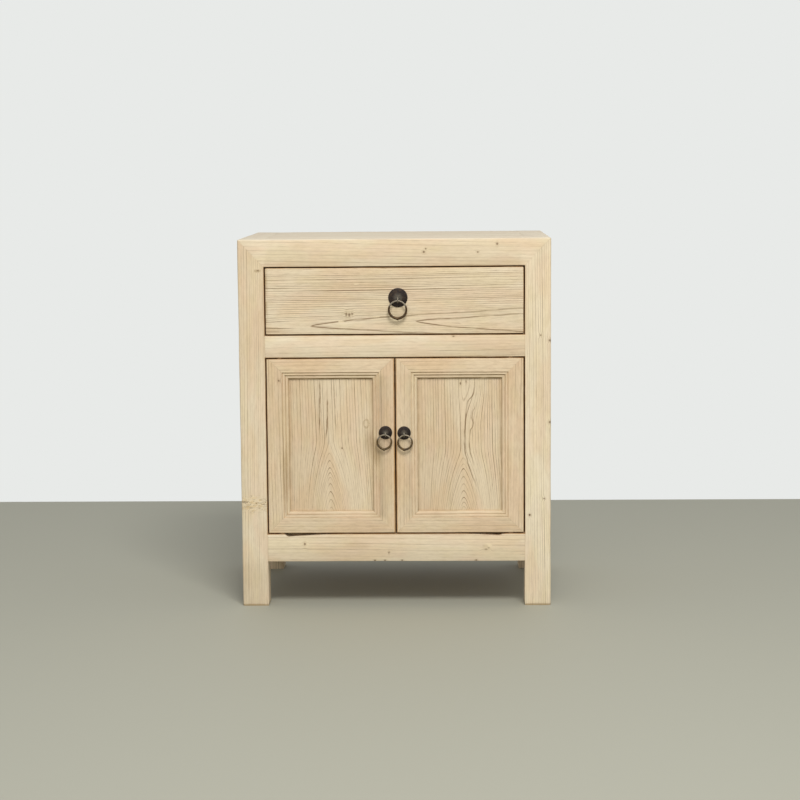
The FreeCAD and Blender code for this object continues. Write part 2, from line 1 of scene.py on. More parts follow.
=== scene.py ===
import functools
import json
import math
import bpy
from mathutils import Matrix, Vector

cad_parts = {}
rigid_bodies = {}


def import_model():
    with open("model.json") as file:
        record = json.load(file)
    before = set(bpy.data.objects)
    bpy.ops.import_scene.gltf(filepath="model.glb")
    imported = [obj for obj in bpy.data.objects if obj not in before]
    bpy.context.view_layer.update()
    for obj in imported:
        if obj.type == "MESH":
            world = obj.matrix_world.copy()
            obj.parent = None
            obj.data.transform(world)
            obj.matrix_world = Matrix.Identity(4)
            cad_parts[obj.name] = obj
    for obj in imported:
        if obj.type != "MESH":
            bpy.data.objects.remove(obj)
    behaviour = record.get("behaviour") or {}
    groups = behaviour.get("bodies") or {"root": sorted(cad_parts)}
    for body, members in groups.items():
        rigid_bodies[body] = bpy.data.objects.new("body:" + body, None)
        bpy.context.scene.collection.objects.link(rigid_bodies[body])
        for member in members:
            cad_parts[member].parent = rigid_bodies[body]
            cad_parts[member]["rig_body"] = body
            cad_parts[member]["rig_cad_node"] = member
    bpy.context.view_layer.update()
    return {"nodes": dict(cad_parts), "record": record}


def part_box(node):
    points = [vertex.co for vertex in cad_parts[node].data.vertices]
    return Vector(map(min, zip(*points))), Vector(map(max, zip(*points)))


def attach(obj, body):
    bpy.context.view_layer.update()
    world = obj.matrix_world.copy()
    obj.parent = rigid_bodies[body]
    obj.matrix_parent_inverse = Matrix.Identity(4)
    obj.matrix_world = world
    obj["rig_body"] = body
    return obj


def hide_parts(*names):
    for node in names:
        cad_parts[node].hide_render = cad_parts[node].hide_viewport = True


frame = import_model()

import types

import bmesh
import bpy
from mathutils import Matrix, Vector

# The looks of a nightstand in pale elm, with a drawer, two panel doors and dark iron ring pulls.
# Metres throughout: X to the right, Y to the back, Z up, with the front facing -Y.

nodes = frame["nodes"]
body_of = {
    node: body
    for body, members in frame["record"]["behaviour"]["bodies"].items()
    for node in members
}

# Faces and levels of the frame
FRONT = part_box("post_front_left")[0].y
FRONT_POST_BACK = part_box("post_front_left")[1].y
BACK_POST_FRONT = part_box("post_back_left")[0].y
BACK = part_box("post_back_left")[1].y
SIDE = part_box("post_front_right")[1].x
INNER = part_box("post_front_right")[0].x
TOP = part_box("top_rail_front")[1].z
TOP_RAIL_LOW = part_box("top_rail_front")[0].z
MIDDLE_RAIL_LOW, MIDDLE_RAIL_HIGH = (corner.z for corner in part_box("middle_rail_front"))
BOTTOM_RAIL_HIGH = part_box("bottom_rail_back")[1].z

X, Y, Z = Vector((1, 0, 0)), Vector((0, 1, 0)), Vector((0, 0, 1))
FLIP_SIDES = Vector((-1, 1, 1))
FLIP_DEPTH = Vector((1, -1, 1))
CENTRE = Vector((0, (FRONT + BACK) / 2, 0))
NEAR = 0.00002
PARALLEL = 0.999
SQUARE = 0.1

# How the boards are worked
OUTER_ROUNDING = 0.0032
EDGE_EASE = 0.0007
FOOT_CHAMFER = 0.0016
HAIRLINE = 0.00005
STEP = 0.012
OUT_OF_TRUE = 0.0009
PLANING_WAVE = 0.07
SMOOTH_UNDER = math.radians(32)


# Modelling: selecting by place, cutting, easing and copying

def deselect():
    bpy.ops.object.select_all(action="DESELECT")


def activate(piece):
    """Makes a piece the only selected and active one."""
    deselect()
    piece.select_set(True)
    bpy.context.view_layer.objects.active = piece


def edit(piece):
    """Opens a piece for editing, with nothing of it selected."""
    activate(piece)
    bpy.ops.object.mode_set(mode="EDIT")
    bpy.ops.mesh.select_all(action="DESELECT")


def done():
    bpy.ops.object.mode_set(mode="OBJECT")


def choose_all():
    bpy.ops.mesh.select_all(action="SELECT")


def take_up(name):
    """Settles a new primitive's place in its mesh, names it and opens it for editing."""
    bpy.ops.object.transform_apply(location=True, rotation=True, scale=True)
    piece = bpy.context.object
    piece.name = name
    piece.data.name = name
    edit(piece)
    return piece


def start_board(name, low, high):
    """A cube stretched to a board between two corners, open for editing."""
    deselect()
    bpy.ops.mesh.primitive_cube_add(size=1, location=(low + high) / 2, scale=high - low)
    return take_up(name)


def choose_members(kind, wanted):
    """Selects the verts, edges or faces of the open piece that a test wants."""
    bpy.ops.mesh.select_all(action="DESELECT")
    bpy.ops.mesh.select_mode(type=kind)
    data = bpy.context.object.data
    mesh = bmesh.from_edit_mesh(data)
    for member in {"VERT": mesh.verts, "EDGE": mesh.edges, "FACE": mesh.faces}[kind]:
        member.select_set(wanted(member))
    mesh.select_flush_mode()
    bmesh.update_edit_mesh(data)


def choose(kind, wanted):
    """Selects the verts, edges or faces that have every corner where the test wants it."""
    def all_there(member):
        return all(wanted(corner.co) for corner in ([member] if kind == "VERT" else member.verts))
    choose_members(kind, all_there)


def runs_along(edge, direction):
    start, end = (vert.co for vert in edge.verts)
    return abs((end - start).normalized().dot(direction)) > PARALLEL


def choose_edges_along(direction, wanted):
    """Selects the edges that run along a direction and have their middle where the test wants it."""
    def there(edge):
        return runs_along(edge, direction) and wanted((edge.verts[0].co + edge.verts[1].co) / 2)
    choose_members("EDGE", there)


def bevel(width, segments):
    bpy.ops.mesh.bevel(
        offset=width, offset_type="OFFSET", segments=segments, profile=0.5, affect="EDGES",
        clamp_overlap=True)


def cut(at, waste):
    """Saws the open piece along a plane and drops the side that the direction points to."""
    choose_all()
    bpy.ops.mesh.bisect(plane_co=at, plane_no=waste, use_fill=True, clear_outer=True)


def score(direction, *places):
    """Scores the open piece across a direction at given places."""
    for place in places:
        choose_all()
        bpy.ops.mesh.bisect(plane_co=direction * place, plane_no=direction)


def divide(direction, low, high, step=STEP):
    """Scores a board between two corners at even steps, so that its faces can be worn out of true."""
    start, end = low.dot(direction), high.dot(direction)
    count = max(1, round((end - start) / step))
    score(direction, *(start + (end - start) * i / count for i in range(1, count)))


def copy_of(piece, name):
    """A copy with a mesh of its own, open for editing and selected all over."""
    activate(piece)
    bpy.ops.object.duplicate(linked=False)
    copy = bpy.context.object
    copy.name = name
    copy.data.name = name
    edit(copy)
    choose_all()
    return copy


def copy_flipped(piece, name, flip):
    """A copy of a finished shape, mirrored about the middle of the cabinet."""
    copy = copy_of(piece, name)
    bpy.ops.transform.resize(value=flip, center_override=CENTRE)
    bpy.ops.mesh.normals_make_consistent(inside=False)
    done()
    return copy


def copy_moved(piece, name, way):
    """A copy of a finished shape at another place."""
    copy = copy_of(piece, name)
    bpy.ops.transform.translate(value=way)
    done()
    return copy


def take_away(piece, waste):
    """Cuts one closed shape out of a piece, and throws the shape away."""
    cutter = piece.modifiers.new("cut", "BOOLEAN")
    cutter.operation = "DIFFERENCE"
    cutter.solver = "EXACT"
    cutter.object = waste
    activate(piece)
    bpy.ops.object.modifier_apply(modifier=cutter.name)
    bpy.data.objects.remove(waste)
    edit(piece)
    choose_all()
    bpy.ops.mesh.remove_doubles(threshold=NEAR / 2)
    bpy.ops.mesh.dissolve_degenerate(threshold=NEAR / 2)
    done()


def let_in(piece, node):
    """Cuts a seat in a piece for a CAD part that enters it."""
    waste = copy_of(nodes[node], f"{node}_seat")
    bpy.ops.mesh.remove_doubles(threshold=NEAR / 2)
    done()
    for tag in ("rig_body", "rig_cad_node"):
        del waste[tag]
    waste.parent = None
    take_away(piece, waste)


planing = bpy.data.textures.new("hand_planing", "CLOUDS")
planing.cloud_type = "COLOR"
planing.noise_scale = PLANING_WAVE
planing.noise_depth = 1


def wear(piece):
    """Leaves a piece a little out of true, as hand planing does. Joined faces move together."""
    plane = piece.modifiers.new("hand_planed", "DISPLACE")
    plane.texture = planing
    plane.texture_coords = "LOCAL"
    plane.direction = "RGB_TO_XYZ"
    plane.mid_level = 0.5
    plane.strength = OUT_OF_TRUE
    activate(piece)
    bpy.ops.object.modifier_apply(modifier=plane.name)


def fit(piece, node, material):
    """Puts a finished piece in the place of its CAD part."""
    activate(piece)
    bpy.ops.object.shade_smooth_by_angle(angle=SMOOTH_UNDER)
    piece.data.materials.clear()
    piece.data.materials.append(material)
    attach(piece, body_of[node])
    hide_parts(node)


# Shader values, and plain sums with them

def join(socket, value):
    """Feeds a socket with a field or a constant, or leaves it alone for None."""
    if isinstance(value, Field):
        socket.id_data.links.new(value.socket, socket)
    elif value is not None:
        socket.default_value = value


def put(tree, kind, *values, **settings):
    """Adds a node. Its sockets take the values in order."""
    node = tree.nodes.new(kind)
    for name, value in settings.items():
        setattr(node, name, value)
    for socket, value in zip(node.inputs, values):
        join(socket, value)
    return node


def feed(node, values):
    """Gives a node values by the names of its sockets."""
    for name, value in values.items():
        join(node.inputs[name], value)


def out(tree, kind, *values, output=0, **settings):
    """Adds a node and gives what it puts out."""
    return Field(put(tree, kind, *values, **settings).outputs[output])


def worked(operation, turned=False):
    """A sum for fields to do. The field is the first of its values, or the last where it is turned."""
    def work(self, *others):
        values = (*others, self) if turned else (self, *others)
        return out(self.tree, "ShaderNodeMath", *values, operation=operation)
    return work


class Field:
    """What a socket puts out over a surface."""

    def __init__(self, socket):
        self.socket = socket
        self.tree = socket.id_data

    __add__ = worked("ADD")
    __radd__ = worked("ADD")
    __sub__ = worked("SUBTRACT")
    __rsub__ = worked("SUBTRACT", turned=True)
    __mul__ = worked("MULTIPLY")
    __truediv__ = worked("DIVIDE")
    __pow__ = worked("POWER")
    __abs__ = worked("ABSOLUTE")
    least = worked("MINIMUM")
    most = worked("MAXIMUM")
    eased_most = worked("SMOOTH_MAX")
    above = worked("GREATER_THAN")
    root = worked("SQRT")
    fraction = worked("FRACT")
    whole = worked("FLOOR")
    exponent = worked("EXPONENT")

    def slope(self, low, high, to_low=0.0, to_high=1.0):
        """Eases from one level to another between two limits."""
        limits = (low, high, to_low, to_high)
        return out(self.tree, "ShaderNodeMapRange", self, *limits, interpolation_type="SMOOTHSTEP")

    def fade(self, low, high):
        """Eases from 1 down to 0 between two limits."""
        return self.slope(low, high, 1.0, 0.0)

    def split(self):
        """Its parts along X, Y and Z."""
        return [Field(part) for part in put(self.tree, "ShaderNodeSeparateXYZ", self).outputs]

    def noise(self, across, along=None, detail=2.0, roughness=0.5):
        """Smooth noise from 0 to 1, by its waves per metre along X and Y, and along Z if that differs."""
        stretch = (across, across, along or across)
        node = put(self.tree, "ShaderNodeTexNoise", vectors(self.tree, "MULTIPLY", self, stretch))
        feed(node, {"Scale": 1.0, "Detail": detail, "Roughness": roughness})
        return Field(node.outputs["Fac"])


def vectors(tree, operation, *values, output=0):
    return out(tree, "ShaderNodeVectorMath", *values, output=output, operation=operation)


def strongest(fields):
    return functools.reduce(Field.most, fields)


def spots_away(place, centre, size):
    """How far a place is from the centre of a spot, in half sizes of the spot."""
    tree = place.tree
    aside = vectors(tree, "DIVIDE", vectors(tree, "SUBTRACT", place, centre), size)
    return vectors(tree, "LENGTH", aside, output="Value")


def ways_in(place, low, high):
    """How far a place lies in from the sides, the lower end and the upper end of a box."""
    left, _, lower = vectors(place.tree, "SUBTRACT", place, low).split()
    right, _, upper = vectors(place.tree, "SUBTRACT", high, place).split()
    return left.least(right), lower, upper


def tint(share, first, second, blend="MIX"):
    """Mixes two colours by a share."""
    node = put(share.tree, "ShaderNodeMix", share, data_type="RGBA", blend_type=blend)
    for socket, value in zip(node.inputs[6:8], (first, second)):
        join(socket, value)
    return Field(node.outputs[2])


def colour(red, green, blue):
    """A colour as it looks on a screen, from 0 to 255, in the linear values that shaders take."""
    def linear(level):
        level /= 255
        return level / 12.92 if level <= 0.04045 else ((level + 0.055) / 1.055) ** 2.4
    return (linear(red), linear(green), linear(blue), 1.0)


def named_outputs(node):
    return types.SimpleNamespace(**{socket.name: Field(socket) for socket in node.outputs if socket.name})


def shader_group(name, **inputs):
    """A node group that works on a place. Gives the place, the inputs by name, and a function that takes
    what the group puts out and finishes it."""
    tree = bpy.data.node_groups.new(name, "ShaderNodeTree")
    for label, start in {"place": (0, 0, 0), **inputs}.items():
        kind = "NodeSocketVector" if isinstance(start, tuple) else "NodeSocketFloat"
        tree.interface.new_socket(label, in_out="INPUT", socket_type=kind).default_value = start
    given = named_outputs(tree.nodes.new("NodeGroupInput"))

    def finish(**outputs):
        for label in outputs:
            tree.interface.new_socket(label, in_out="OUTPUT", socket_type="NodeSocketFloat")
        feed(tree.nodes.new("NodeGroupOutput"), outputs)
        return tree

    return given.place, given, finish


def use_group(group, place, **values):
    """Sets a group to work on a place, with values of its own."""
    node = put(place.tree, "ShaderNodeGroup", node_tree=group)
    feed(node, {"place": place, **values})
    return named_outputs(node)


def start_material(name):
    """A new material, its emptied tree and the place on the piece."""
    material = bpy.data.materials.new(name)
    material.use_nodes = True
    tree = material.node_tree
    tree.nodes.clear()
    return material, tree, out(tree, "ShaderNodeTexCoord", output="Object")


def shade(tree, base, rough, height, relief, depth, constants):
    """The shader of a material, with its relief as a strength and a depth."""
    bump = put(tree, "ShaderNodeBump")
    feed(bump, {"Strength": relief, "Distance": depth, "Height": height})
    shader = put(tree, "ShaderNodeBsdfPrincipled")
    feed(shader, {"Base Color": base, "Roughness": rough, "Normal": Field(bump.outputs[0]), **constants})
    put(tree, "ShaderNodeOutputMaterial", Field(shader.outputs[0]))


# Elm: growth rings round the heart of the tree, fibres, pores, knots and grime, with painted shade and sheen

PALE_ELM, WARM_ELM = colour(235, 219, 189), colour(227, 207, 174)
# Paler elm for the right front post: painted light, for the light that falls stronger on the right.
PAINTED_LIGHT_POST_ELM = {"pale": colour(243, 229, 200), "warm": colour(235, 218, 186)}
DOOR_ELM = {"pale": colour(232, 212, 179), "warm": colour(224, 200, 165)}
PANEL_ELM = {"pale": colour(233, 215, 183), "warm": colour(226, 205, 172)}
BARE_ELM = {"pale": colour(214, 190, 152), "warm": colour(196, 168, 126)}
PEACH_CAST = (1.0, 0.95, 0.94, 1.0)
STRAW_CAST = (0.985, 0.98, 0.93, 1.0)
RING_LINE = colour(124, 94, 58)
PORE_BROWN = colour(140, 112, 80)
KNOT_BROWN = colour(104, 74, 46)
# Grime brown, also the colour of the painted shade in the door mouldings.
GRIME_AND_SHADE = colour(147, 119, 74)
# Brown of the dirt and painted shade in the gaps.
SEAM_DIRT_AND_SHADE_BROWN = colour(164, 114, 50)
TORN_PALE = colour(238, 219, 182)
TORN_GOLD = colour(212, 182, 128)
# Grey painted on the top faces: a painted sheen.
PAINTED_SHEEN_GREY = colour(212, 202, 182)
STREAK_SHARE = 0.12
PORE_SHARE = 0.35
POINT_SHARE = 0.9
HALO_SHARE = 0.3
PAINTED_SHEEN_SHARE = 0.6
SEAM_DIRT_AND_SHADE_SHARE = 0.85
GRIME_SHARE = 0.6
GRIME_REACH = 0.007
POINT_HALF = 0.0018
RING = 0.006
WANDER = 0.004
TURN_EASE = 0.02
ELM_RELIEF_DEPTH = 0.0007
SPOT_DEPTH = 0.004

# Stepped moulding: distance out from the panel's visible edge, and depth behind the front face
MOULDING = (
    (0.0126, 0.0), (0.0121, 0.0018), (0.0113, 0.0018), (0.0107, 0.0012), (0.0077, 0.0014),
    (0.0070, 0.0020), (0.0066, 0.0036), (0.0057, 0.0037), (0.0051, 0.0032), (0.0022, 0.0035),
    (0.0012, 0.0039), (0.0004, 0.0047), (0.0, 0.0058),
)
OUTER_QUIRK = (MOULDING[1][0] + MOULDING[2][0]) / 2
INNER_QUIRK = (MOULDING[6][0] + MOULDING[7][0]) / 2


def make_figure_group():
    """The figure of sawn elm. Z of the place runs along the heart of the tree, and X and Y lead away.
    Before the lower turn and beyond the upper one, the rings near the heart run out in pointed arches."""
    place, given, finish = shader_group(
        "elm_figure", ring=RING, wander=WANDER, swell=0, lower_turn=-1, lower_slope=0, upper_turn=1,
        upper_slope=0, arch=0.03, count=0, boost=0, far=1, late=0.15)
    tree = place.tree
    aside, _, along = place.split()
    away = vectors(tree, "LENGTH", vectors(tree, "MULTIPLY", place, (1, 1, 0)), output="Value")
    before = (given.lower_turn - along).eased_most(0.0, TURN_EASE)
    beyond = (along - given.upper_turn).eased_most(0.0, TURN_EASE)
    lift = before * given.lower_slope + beyond * given.upper_slope
    share = away / given.arch
    near_heart = (share * share * -1.0).exponent()
    stray = place.noise(11, 2.6, 3.0, 0.45) - 0.5
    away = away - lift * near_heart + stray * (given.wander * 2.0) + given.swell
    even = away / given.ring + (given.count + 0.06)
    uneven = put(tree, "ShaderNodeTexNoise", noise_dimensions="1D")
    feed(uneven, {"W": even * 0.23, "Scale": 1.0, "Detail": 1.0})
    ring = Field(uneven.outputs["Fac"]) * 2.0 + even
    within = ring.fraction()
    chances = []
    for start in (0.0, 57.0):
        chance = put(tree, "ShaderNodeTexWhiteNoise", noise_dimensions="1D")
        feed(chance, {"W": (ring - 0.2).whole() + start})
        chances.append(Field(chance.outputs["Value"]))
    strong = out(tree, "ShaderNodeMix", aside.slope(-0.01, 0.01), None, *chances)
    profile = within.slope(1.0 - given.late, 1.0).most(within.fade(0.0, 0.11))
    arched = near_heart * (before + beyond).slope(0.01, 0.06)
    strength = (strong ** 2.0 * 0.8 + 0.25) * (arched * given.boost + 1.0)
    strength = strength * (away / given.far).slope(0.7, 1.3, 1.0, 0.25)
    broken = place.noise(130, 7).slope(0.3, 0.62, 0.4, 1.0)
    patchy = place.noise(22, 5).slope(0.36, 0.6, 0.5, 1.0)
    return finish(
        line=profile * (strength * broken * patchy),
        streak=place.noise(190, 6.5, 5.0, 0.85),
        pore=place.noise(1100, 38, 1.0).slope(0.58, 0.72) * (profile * 0.7 + 0.3),
        cloud=place.noise(9, 2.2, 3.0),
        peach=place.noise(31, 11).slope(0.4, 0.64),
        straw=place.noise(43, 14).slope(0.4, 0.64),
        fleck=place.noise(230, 60, 2.0, 0.7))


def make_knot_group():
    """A knot or nail hole: how dark each place is, and how far the rings swell round it."""
    place, given, finish = shader_group("knot", centre=(0, 0, 0), size=(1, 1, 1))
    away = spots_away(place, given.centre, given.size)
    ragged = (place.noise(420) - 0.5) * 0.9 + away
    return finish(
        mark=ragged.fade(0.45, 1.0),
        halo=ragged.fade(0.8, 2.6),
        rim=ragged.slope(0.5, 0.8) * ragged.fade(0.85, 1.15),
        swell=away.fade(0.0, 4.0))


def make_point_group():
    """One dark growth line that runs out to a point, from which it opens along X, by above and below as
    each leg rises or falls."""
    place, given, finish = shader_group(
        "pointed_line", tip=(0, 0, 0), above=0.01, below=0.01, half=POINT_HALF)
    aside, _, rise = vectors(place.tree, "SUBTRACT", place, given.tip).split()
    height = (place.noise(17) - 0.5) * aside.slope(0.0, 0.05, 0.0, 0.006) + rise
    opening = height.above(0.0) * (given.above - given.below) + given.below
    tall = abs(height)
    lean = tall.root() / opening
    steep = (lean * lean * 2.25 + 1.0).root()
    away = abs(aside - tall * lean) / steep / given.half
    patchy = place.noise(40).slope(0.3, 0.6, 0.55, 1.0)
    return finish(mark=away.fade(0.2, 1.0) * (patchy * aside.slope(0.0, 0.25, 1.0, 0.65)))


def grain_line(place, path, half):
    """One dark growth line that runs upwards through given heights and places across, each a (Z, X)."""
    low, high = path[0][0], path[-1][0]
    left = min(x for z, x in path)
    width = max(x for z, x in path) - left
    across, _, level = place.split()
    share = out(place.tree, "ShaderNodeMapRange", level, low, high)
    bend = put(place.tree, "ShaderNodeFloatCurve", 1.0, share)
    points = bend.mapping.curves[0].points
    for i, (z, x) in enumerate(path):
        point = points[i] if i < 2 else points.new(0.5, 0.5)
        point.location = ((z - low) / (high - low), (x - left) / width)
    bend.mapping.update()
    stray = (place.noise(70) - 0.5) * 0.003
    away = abs(across - left + stray - Field(bend.outputs[0]) * width)
    ends = share.slope(0.0, 0.25) * share.fade(0.85, 1.0)
    return away.fade(half * 0.2, half) * (ends * place.noise(30, 45).slope(0.3, 0.6, 0.5, 1.0))


def make_grime_group():
    """Handling grime that gathers along the rim of a board's face, between two corners of it."""
    place, given, finish = shader_group("rim_grime", low=(0, 0, 0), high=(0, 0, 0), reach=GRIME_REACH)
    sides, lower, upper = ways_in(place, given.low, given.high)
    near = (sides.least(lower.least(upper)) / given.reach).fade(0.0, 1.0)
    return finish(mark=near * place.noise(60, detail=3.0).slope(0.3, 0.7))


def make_seam_dirt_and_shade_group():
    """Old dirt and painted shade in the gaps: on whatever lies within the rims of the drawer's and the
    doors' openings.
    """
    place, _, finish = shader_group("seam_dirt_and_shade")
    rims = []
    for left, right, low, high in (
        (-INNER, INNER, MIDDLE_RAIL_HIGH, TOP_RAIL_LOW),
        (-INNER, 0.0, BOTTOM_RAIL_HIGH, MIDDLE_RAIL_LOW),
        (0.0, INNER, BOTTOM_RAIL_HIGH, MIDDLE_RAIL_LOW),
    ):
        sides, lower, upper = ways_in(place, (left, 0, low), (right, 0, high))
        inside = sides.least(lower.least(upper))
        rims.append(inside.slope(-0.0013, -0.0004) * inside.fade(0.0029, 0.0037))
    depth = place.split()[1]
    deep = depth.slope(FRONT - 0.0016, FRONT + 0.0004)
    shallow = depth.slope(FRONT + 0.0025, FRONT + 0.010, 1.0, 0.3)
    patchy = place.noise(45).slope(0.3, 0.65, 0.7, 1.0)
    return finish(mark=strongest(rims) * patchy * (deep * shallow))


def make_moulding_grime_and_shade_group():
    """Grime and painted shade in the grooves of a door's moulding, by the distance out from the panel's
    visible edge.
    """
    place, given, finish = shader_group("moulding_grime_and_shade", low=(0, 0, 0), high=(0, 0, 0))
    sides, lower, upper = ways_in(place, given.low, given.high)
    inside = sides.least(lower.least(upper))
    # The quirk lines hold grime and painted shade. The line at the panel's edge is painted shadow under the
    # lip.
    grime_and_shade_lines = ((OUTER_QUIRK, 0.0011, 0.75), (INNER_QUIRK, 0.0013, 0.9), (0.0, 0.0024, 1.0))
    grooves = strongest(
        abs(inside + reach).slope(half * 0.3, half, dark, 0.0) for reach, half, dark in grime_and_shade_lines)
    # Painted shade: full along the top, about a third at the sides and a fifth along the bottom, as light
    # from above leaves it.
    at_top = (sides - upper).slope(-0.001, 0.001, 0.36, 1.0)
    at_bottom = (sides - lower).slope(-0.001, 0.001, 1.0, 0.2)
    # A soft darker band down the panel's sides.
    band = sides.slope(0.0, 0.011, 0.25, 0.0) * sides.slope(-0.004, 0.0) * inside.slope(-0.002, 0.001)
    patchy = place.noise(50, detail=3.0).slope(0.25, 0.6, 0.45, 1.0)
    return finish(mark=(grooves * at_top.least(at_bottom)).most(band) * patchy)


def make_torn_group():
    """A torn patch of grain round a point: how far it reaches, and where it is chipped and cracked."""
    place, given, finish = shader_group("torn_grain", centre=(0, 0, 0), size=(1, 1, 1))
    away = (place.noise(110, 260, 3.0) - 0.5) * 1.3 + spots_away(place, given.centre, given.size)
    mark = away.fade(0.35, 1.15)
    waves = (place.noise(38, 210) * 9.0).fraction()
    crack = abs(waves - 0.5).fade(0.0, 0.16)
    return finish(
        mark=mark,
        chip=place.noise(120, 230).slope(0.48, 0.6) * mark,
        crack=crack * (place.noise(90, 300).slope(0.36, 0.52) * mark))


figure_group = make_figure_group()
knot_group = make_knot_group()
point_group = make_point_group()
grime_group = make_grime_group()
seam_dirt_and_shade_group = make_seam_dirt_and_shade_group()
moulding_grime_and_shade_group = make_moulding_grime_and_shade_group()
torn_group = make_torn_group()


def elm(name, heart, along, ring=RING, wander=WANDER, arches=None, count=0.0, pale=PALE_ELM, warm=WARM_ELM,
        line=0.75, fleck=0.08, marks=(), bulges=(), points=(), lines=(), rims=(), fills=(), darkened_spots=(),
        torn=None, grime=None, moulding=None, painted_top_sheen=False, seams=False, shine=0.5, relief=0.5):
    """Elm sawn so that the heart of its tree passes through a point, along a direction. Line and fleck say
    how dark its rings and flecks are. Spots are given as centre, half size and share: marks are knots, rims
    are outlines of healed knots, fills are pale filled places, darkened spots are darker places and torn is
    a torn one. Bulges push the rings away from the heart, by an amount in place of the share. Each point is
    a line that runs out to a tip, and each of the lines has a path, a half width and a share. Grime is the
    box whose rim gathers grime, the reach and the share. Moulding is the box of the panel that a moulding
    frames, whose grooves get grime and painted shade.
    A painted top sheen paints the top face greyer, and seams get dirt and painted shade in the gaps."""
    material, tree, place = start_material(name)

    def knot(centre, size):
        return use_group(knot_group, place, centre=centre, size=size)

    def stain(share, hue, blend="MIX"):
        nonlocal base
        base = tint(share, base, hue, blend)

    knots = [(knot(centre, size), size[0], share) for centre, size, share in marks]
    swell = sum(each.swell * across for each, across, _ in knots)
    swell = swell - sum(knot(centre, size).swell * amount for centre, size, amount in bulges)
    turn = Vector(along).to_track_quat("Z", "Y").to_euler()
    sawn = out(tree, "ShaderNodeMapping", place, heart, turn, vector_type="TEXTURE")
    figure = use_group(
        figure_group, sawn, ring=ring, wander=wander, swell=swell, count=count, **(arches or {}))
    base = tint(figure.cloud.slope(0.32, 0.68), pale, warm)
    stain(figure.peach, PEACH_CAST, "MULTIPLY")
    stain(figure.straw, STRAW_CAST, "MULTIPLY")
    stain(figure.streak.slope(0.40, 0.66, 0.0, STREAK_SHARE), RING_LINE)
    stain(figure.fleck.slope(0.38, 0.68, 0.0, fleck), RING_LINE)
    stain(figure.line * line, RING_LINE)
    stain(figure.pore * PORE_SHARE, PORE_BROWN)
    height = figure.line * -0.7 + figure.streak * 0.6 + figure.pore * -0.5
    for tip, above, below in points:
        point = use_group(point_group, place, tip=tip, above=above, below=below)
        stain(point.mark * POINT_SHARE, RING_LINE)
    for path, half, share in lines:
        stain(grain_line(place, path, half) * share, RING_LINE)
    for centre, size, share in rims:
        stain(knot(centre, size).rim * share, GRIME_AND_SHADE)
    for centre, size, share in fills:
        stain(knot(centre, size).mark * share, TORN_PALE)
    if knots:
        stain(strongest(each.halo * share for each, _, share in knots) * HALO_SHARE, GRIME_AND_SHADE)
        mark = strongest(each.mark * share for each, _, share in knots)
        stain(mark, KNOT_BROWN)
        height = height - mark
    for centre, size, share in darkened_spots:
        stain(knot(centre, size).halo * share, GRIME_AND_SHADE)
    if torn:
        centre, size, share = torn
        patch = use_group(torn_group, place, centre=centre, size=size)
        stain(patch.mark * share, TORN_PALE)
        stain(patch.chip * share, TORN_GOLD)
        stain(patch.crack, KNOT_BROWN)
        height = height - patch.crack * 2.0
    if grime:
        low, high, reach, share = grime
        stain(use_group(grime_group, place, low=low, high=high, reach=reach).mark * share, GRIME_AND_SHADE)
    # Grime and painted shade in the moulding round a panel.
    if moulding:
        low, high = moulding
        stain(use_group(moulding_grime_and_shade_group, place, low=low, high=high).mark, GRIME_AND_SHADE)
    # Painted sheen: the top face is painted greyer, for the pale reflection it catches at a low angle.
    if painted_top_sheen:
        level = place.split()[2]
        stain(level.slope(TOP - 0.0024, TOP - 0.0008, 0.0, PAINTED_SHEEN_SHARE), PAINTED_SHEEN_GREY)
    # Dirt and painted shade in the gaps round the drawer and the doors.
    if seams:
        stain(use_group(seam_dirt_and_shade_group, place).mark * SEAM_DIRT_AND_SHADE_SHARE, SEAM_DIRT_AND_SHADE_BROWN)
    rough = figure.line * 0.12 + (figure.streak * 0.16 + shine)
    shade(tree, base, rough, height, relief, ELM_RELIEF_DEPTH, {"Specular IOR Level": 0.4})
    return material


# Dark iron

BLACK_IRON = colour(44, 38, 36)
BROWN_IRON = colour(78, 55, 28)
OLIVE_IRON = colour(98, 78, 46)
RUST = colour(70, 57, 46)
# Pale worn iron, also the colour of the painted highlight on the rings' tops.
RUBBED_AND_HIGHLIT = colour(172, 164, 148)
PLATE_WORN = 0.09
RING_WORN = 0.22
EYE_WORN = 0.6
IRON_RELIEF = 0.6
IRON_RELIEF_DEPTH = 0.0003


def make_iron(name, worn, dark=BLACK_IRON, bright_above=None, bright_round=None):
    """Blackened iron with brown bloom, worn bright over a share of it. Above a level it is painted lighter
    still, a painted highlight with wear, and round a place it is lighter within a reach."""
    material, tree, place = start_material(name)
    bloom = place.noise(260, detail=4.0, roughness=0.6)
    fine = place.noise(900, detail=3.0, roughness=0.6)
    lightened = fine.slope(0.75 - worn, 0.9 - worn, 0.0, 0.25 + 0.6 * worn)
    # Painted highlight with wear: lighter above a level, where the ring's top catches the light from above.
    if bright_above:
        worn_and_highlit = place.split()[2].slope(bright_above - 0.002, bright_above + 0.003, 0.0, 0.6)
        lightened = lightened.most(worn_and_highlit * bloom.slope(0.3, 0.55, 0.5, 1.0))
    if bright_round:
        centre, reach = bright_round
        away = vectors(tree, "DISTANCE", place, centre, output="Value")
        lightened = lightened.most(away.slope(reach * 0.2, reach, 0.3, 0.0) * fine.slope(0.35, 0.6, 0.3, 1.0))
    base = tint(lightened, tint(bloom.slope(0.44, 0.64, 0.0, 0.85), dark, RUST), RUBBED_AND_HIGHLIT)
    rough = bloom.slope(0.3, 0.7, 0.38, 0.62)
    shade(tree, base, rough, bloom + fine, IRON_RELIEF, IRON_RELIEF_DEPTH, {"Metallic": 0.85})
    return material


# Frame: posts and rails

